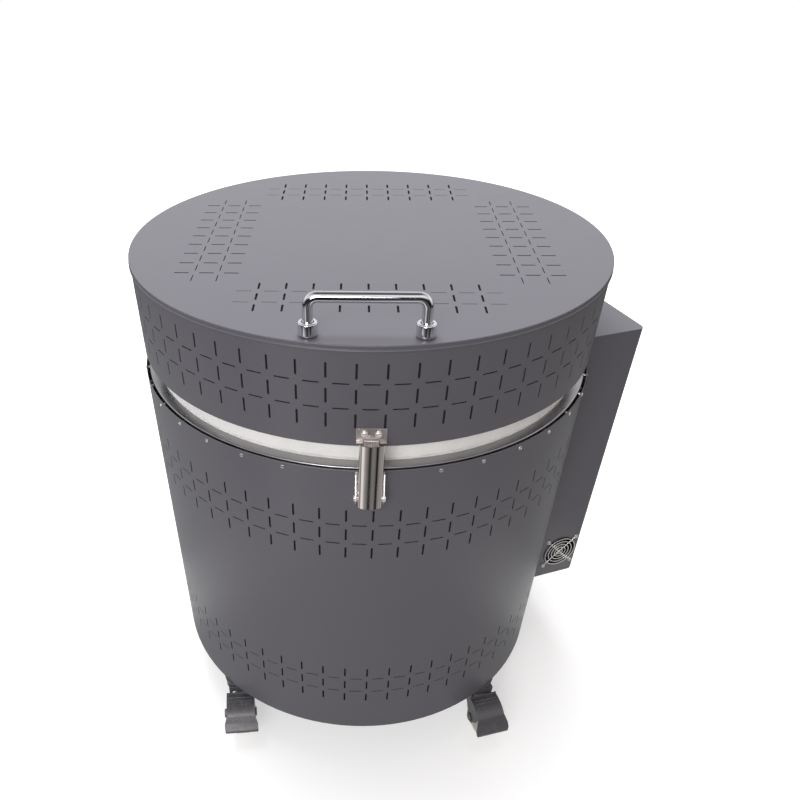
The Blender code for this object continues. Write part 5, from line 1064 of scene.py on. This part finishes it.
lamp_points = points_of(frame["nodes"]["pilot_lamp"].data)
LENS_RISE = 0.006
lamp_front = (lamp_points @ box_out).max()
lamp_rows = lamp_points[(lamp_points @ box_out) > lamp_front - 0.0005]
lamp_seat = lamp_rows.mean(0) - box_out * LENS_RISE
lens_profile = [(0.0, LENS_RISE)] + rounded(0.0, 0.0, LENS_RISE, 75, 15, 5) + [(0.0058, 0.0), (0.0, 0.0)]
bezel_profile = [(0.0059, 0.0028)] + rounded(0.0075, 0.002, 0.001, 90, 0, 4)
bezel_profile += [(0.0085, 0.0003), (0.006, 0.0003), (0.006, -0.02), (0.0, -0.02), (0.0, -0.0002),
                  (0.0059, -0.0002)]
shown_as("lamp_lens", lathe(lens_profile, 32, lamp_seat, box_out), "body", red_moulding, "red_plastic",
         "pilot_lamp", angle=60.0)
shown_as("lamp_bezel", lathe(bezel_profile, 32, lamp_seat, box_out), "body", chrome, "chrome",
         "pilot_lamp", angle=40.0)


# Cooling fan.
# A 60 mm axial fan inside the box's side: square frame, seven twisted blades on a hub, and a
# welded wire finger guard outside, held by four pan-head screws through its eyes. One bar of the
# guard's cross lies over its rings and the other under them.

fan_way, fan_centre = joint_named("fan_shaft")
eased("fan_frame", "fan_housing", 0.0005, black_moulding)
eased("fan_rotor", "fan_impeller", 0.0002, black_moulding, 1)

bright_wire = finish_with("bright_wire", bright_group, (0.9, 0.88, 0.86), 0.2,
                          {"Metallic": 0.7}, Ripple=0.3)
guard_points = points_of(frame["nodes"]["fan_guard"].data)
guard_depths = guard_points @ fan_way
GUARD_WIRE = 0.0007
OUTER_BAR = -1
EAR_PITCH = 0.050
EYE_RADIUS = 0.003
fan_across = np.cross([0.0, 0.0, 1.0], fan_way)
guard_axis = fan_centre - fan_way * (fan_centre @ fan_way)


def on_guard(across, up, depth):
    """A point in front of the fan: across, up from its axis, and its distance along the fan's way."""
    across, up = np.asarray(across)[..., None], np.asarray(up)[..., None]
    return guard_axis + across * fan_across + up * [0.0, 0.0, 1.0] + depth * fan_way


ring_depth = guard_depths.max() - GUARD_WIRE
bar_depth = guard_depths.min() + GUARD_WIRE
circle = np.linspace(0, 2 * np.pi, 48, endpoint=False)
guard_parts = [rod_along(on_guard(radius * np.cos(circle), radius * np.sin(circle), ring_depth), fan_way,
                         GUARD_WIRE, 8, True) for radius in (0.0265, 0.0207, 0.0152, 0.0097, 0.0045)]
inner = EAR_PITCH / 2 - EYE_RADIUS / math.sqrt(2)
run = np.concatenate([[-inner, -inner + 0.0008], np.linspace(-inner + 0.0042, inner - 0.0042, 7),
                      [inner - 0.0008, inner]])
over_rings = np.where(np.abs(run) < inner - 0.003, ring_depth + 1.9 * GUARD_WIRE, bar_depth)
for side in (-1, 1):
    depths = over_rings if side == OUTER_BAR else np.full(len(run), bar_depth)
    guard_parts.append(rod_along(on_guard(side * run, run, depths[:, None]), fan_way, GUARD_WIRE, 8))
    for end in (-1, 1):
        eye = on_guard(end * side * EAR_PITCH / 2 + EYE_RADIUS * np.cos(circle[::3]),
                       end * EAR_PITCH / 2 + EYE_RADIUS * np.sin(circle[::3]), bar_depth)
        guard_parts.append(rod_along(eye, fan_way, GUARD_WIRE, 8, True))
shown_as("finger_guard", together(guard_parts), "body", bright_wire, "chrome", "fan_guard", angle=80.0)
guard_screws = [lathe(pan_head(0.0029, 0.0018, 0.001), 20,
                      on_guard(x * EAR_PITCH / 2, z * EAR_PITCH / 2, bar_depth + GUARD_WIRE), fan_way)
                for x in (-1, 1) for z in (-1, 1)]
shown_as("guard_screws", together(guard_screws), "body", rivet_alloy, "zinc", angle=40.0)


# Base pan.
# Painted pan that closes the kiln's underside; its rim stands up inside the jacket and it carries
# the casters' stems.

eased("base_pan", "floor_pan", 0.0004, grey_coat)


# Casters.
# Four swivel casters with cream nylon wheels in dark housings. The front pair has moulded brake
# pedals with a ribbed top, a raised rear ridge and a flared foot lip, and bolts with the low head on
# the inside.

dark_nylon = finish_with("dark_nylon", moulded_group, (0.082, 0.08, 0.09), 0.24,
                         {"IOR": 1.5}, Grain=0.35, Dust=0.1)
cream_nylon = finish_with("cream_nylon", moulded_group, (0.68, 0.65, 0.52), 0.42,
                          {"IOR": 1.5}, Grain=0.3, Dust=0.05)
dark_bolt = finish_with("dark_plated_bolt", zinc_group, (0.2, 0.2, 0.21), 0.38,
                        {"Metallic": 1.0}, Spangle=0.05)
WHEEL_BORE = 0.0043
HEAD_HEIGHT, HEAD_CUT = 0.0055, 0.75
RIDGE_STARTS, RIDGE_STRETCH = 0.0362, 2.9

for tag in ("front_left", "front_right", "rear_right", "rear_left"):
    axle_way, axle_centre = joint_named(f"wheel_{tag}_roll")
    wheel_points = points_of(frame["nodes"][f"caster_wheel_{tag}"].data)
    half = np.abs((wheel_points - axle_centre) @ axle_way).max()
    reach = axle_centre[2]
    side = [(reach - 0.0002, 0.0), (reach - 0.0003, half - 0.0042)]
    side += rounded(reach - 0.0036, half - 0.0033, 0.0033, 0, 90, 6)
    side += [(reach - 0.0062, half), (reach - 0.0068, half - 0.0003), (reach - 0.0074, half - 0.0012),
             (WHEEL_BORE + 0.0075, half - 0.0016), (WHEEL_BORE + 0.0066, half - 0.0011),
             (WHEEL_BORE + 0.006, half - 0.0002), (WHEEL_BORE, half - 0.0002)]
    wheel_profile = [(r, -x) for r, x in reversed(side)] + side[1:]
    shown_as(f"nylon_wheel_{tag}", lathe(wheel_profile[::-1], 64, axle_centre, axle_way, closed=True),
             f"wheel_{tag}", cream_nylon, "cream_plastic", f"caster_wheel_{tag}")
    eased(f"caster_stem_{tag}", f"swivel_stem_{tag}", 0.0005, dark_nylon)
    eased(f"caster_fork_{tag}", f"swivel_fork_{tag}", 0.0007, dark_nylon, 3)
    bolt = eased(f"caster_axle_{tag}", f"axle_bolt_{tag}", 0.0005, dark_bolt)
    if tag.startswith("front"):
        inward = axle_way * np.sign((np.array(KILN_FOOT) - axle_centre) @ axle_way)
        bolt_points = points_of(bolt.data)
        under_head = ((bolt_points - axle_centre) @ axle_way).max() - HEAD_HEIGHT
        beyond = np.maximum((bolt_points - axle_centre) @ inward - under_head, 0.0)
        move_to(bolt.data, bolt_points - HEAD_CUT * beyond[:, None] * inward)
        pedal = eased(f"brake_pedal_{tag}", f"moulded_pedal_{tag}", 0.0007, dark_nylon, 3, 24.0)
        rearward = np.cross(axle_way, [0.0, 0.0, 1.0])
        pedal_points = points_of(pedal.data)
        from_axle = pedal_points - axle_centre
        rearward *= -np.sign((from_axle @ rearward).sum())
        radius = np.hypot(from_axle @ rearward, from_axle[:, 2])
        lean = np.arctan2(from_axle @ rearward, from_axle[:, 2])
        in_ridge = (radius > RIDGE_STARTS) & (lean > math.radians(8))
        raised_to = RIDGE_STARTS + RIDGE_STRETCH * (radius - RIDGE_STARTS)
        stretch = np.where(in_ridge, raised_to / radius - 1.0, 0.0)
        square_to_axle = from_axle - (from_axle @ axle_way)[:, None] * axle_way
        move_to(pedal.data, pedal_points + stretch[:, None] * square_to_axle)
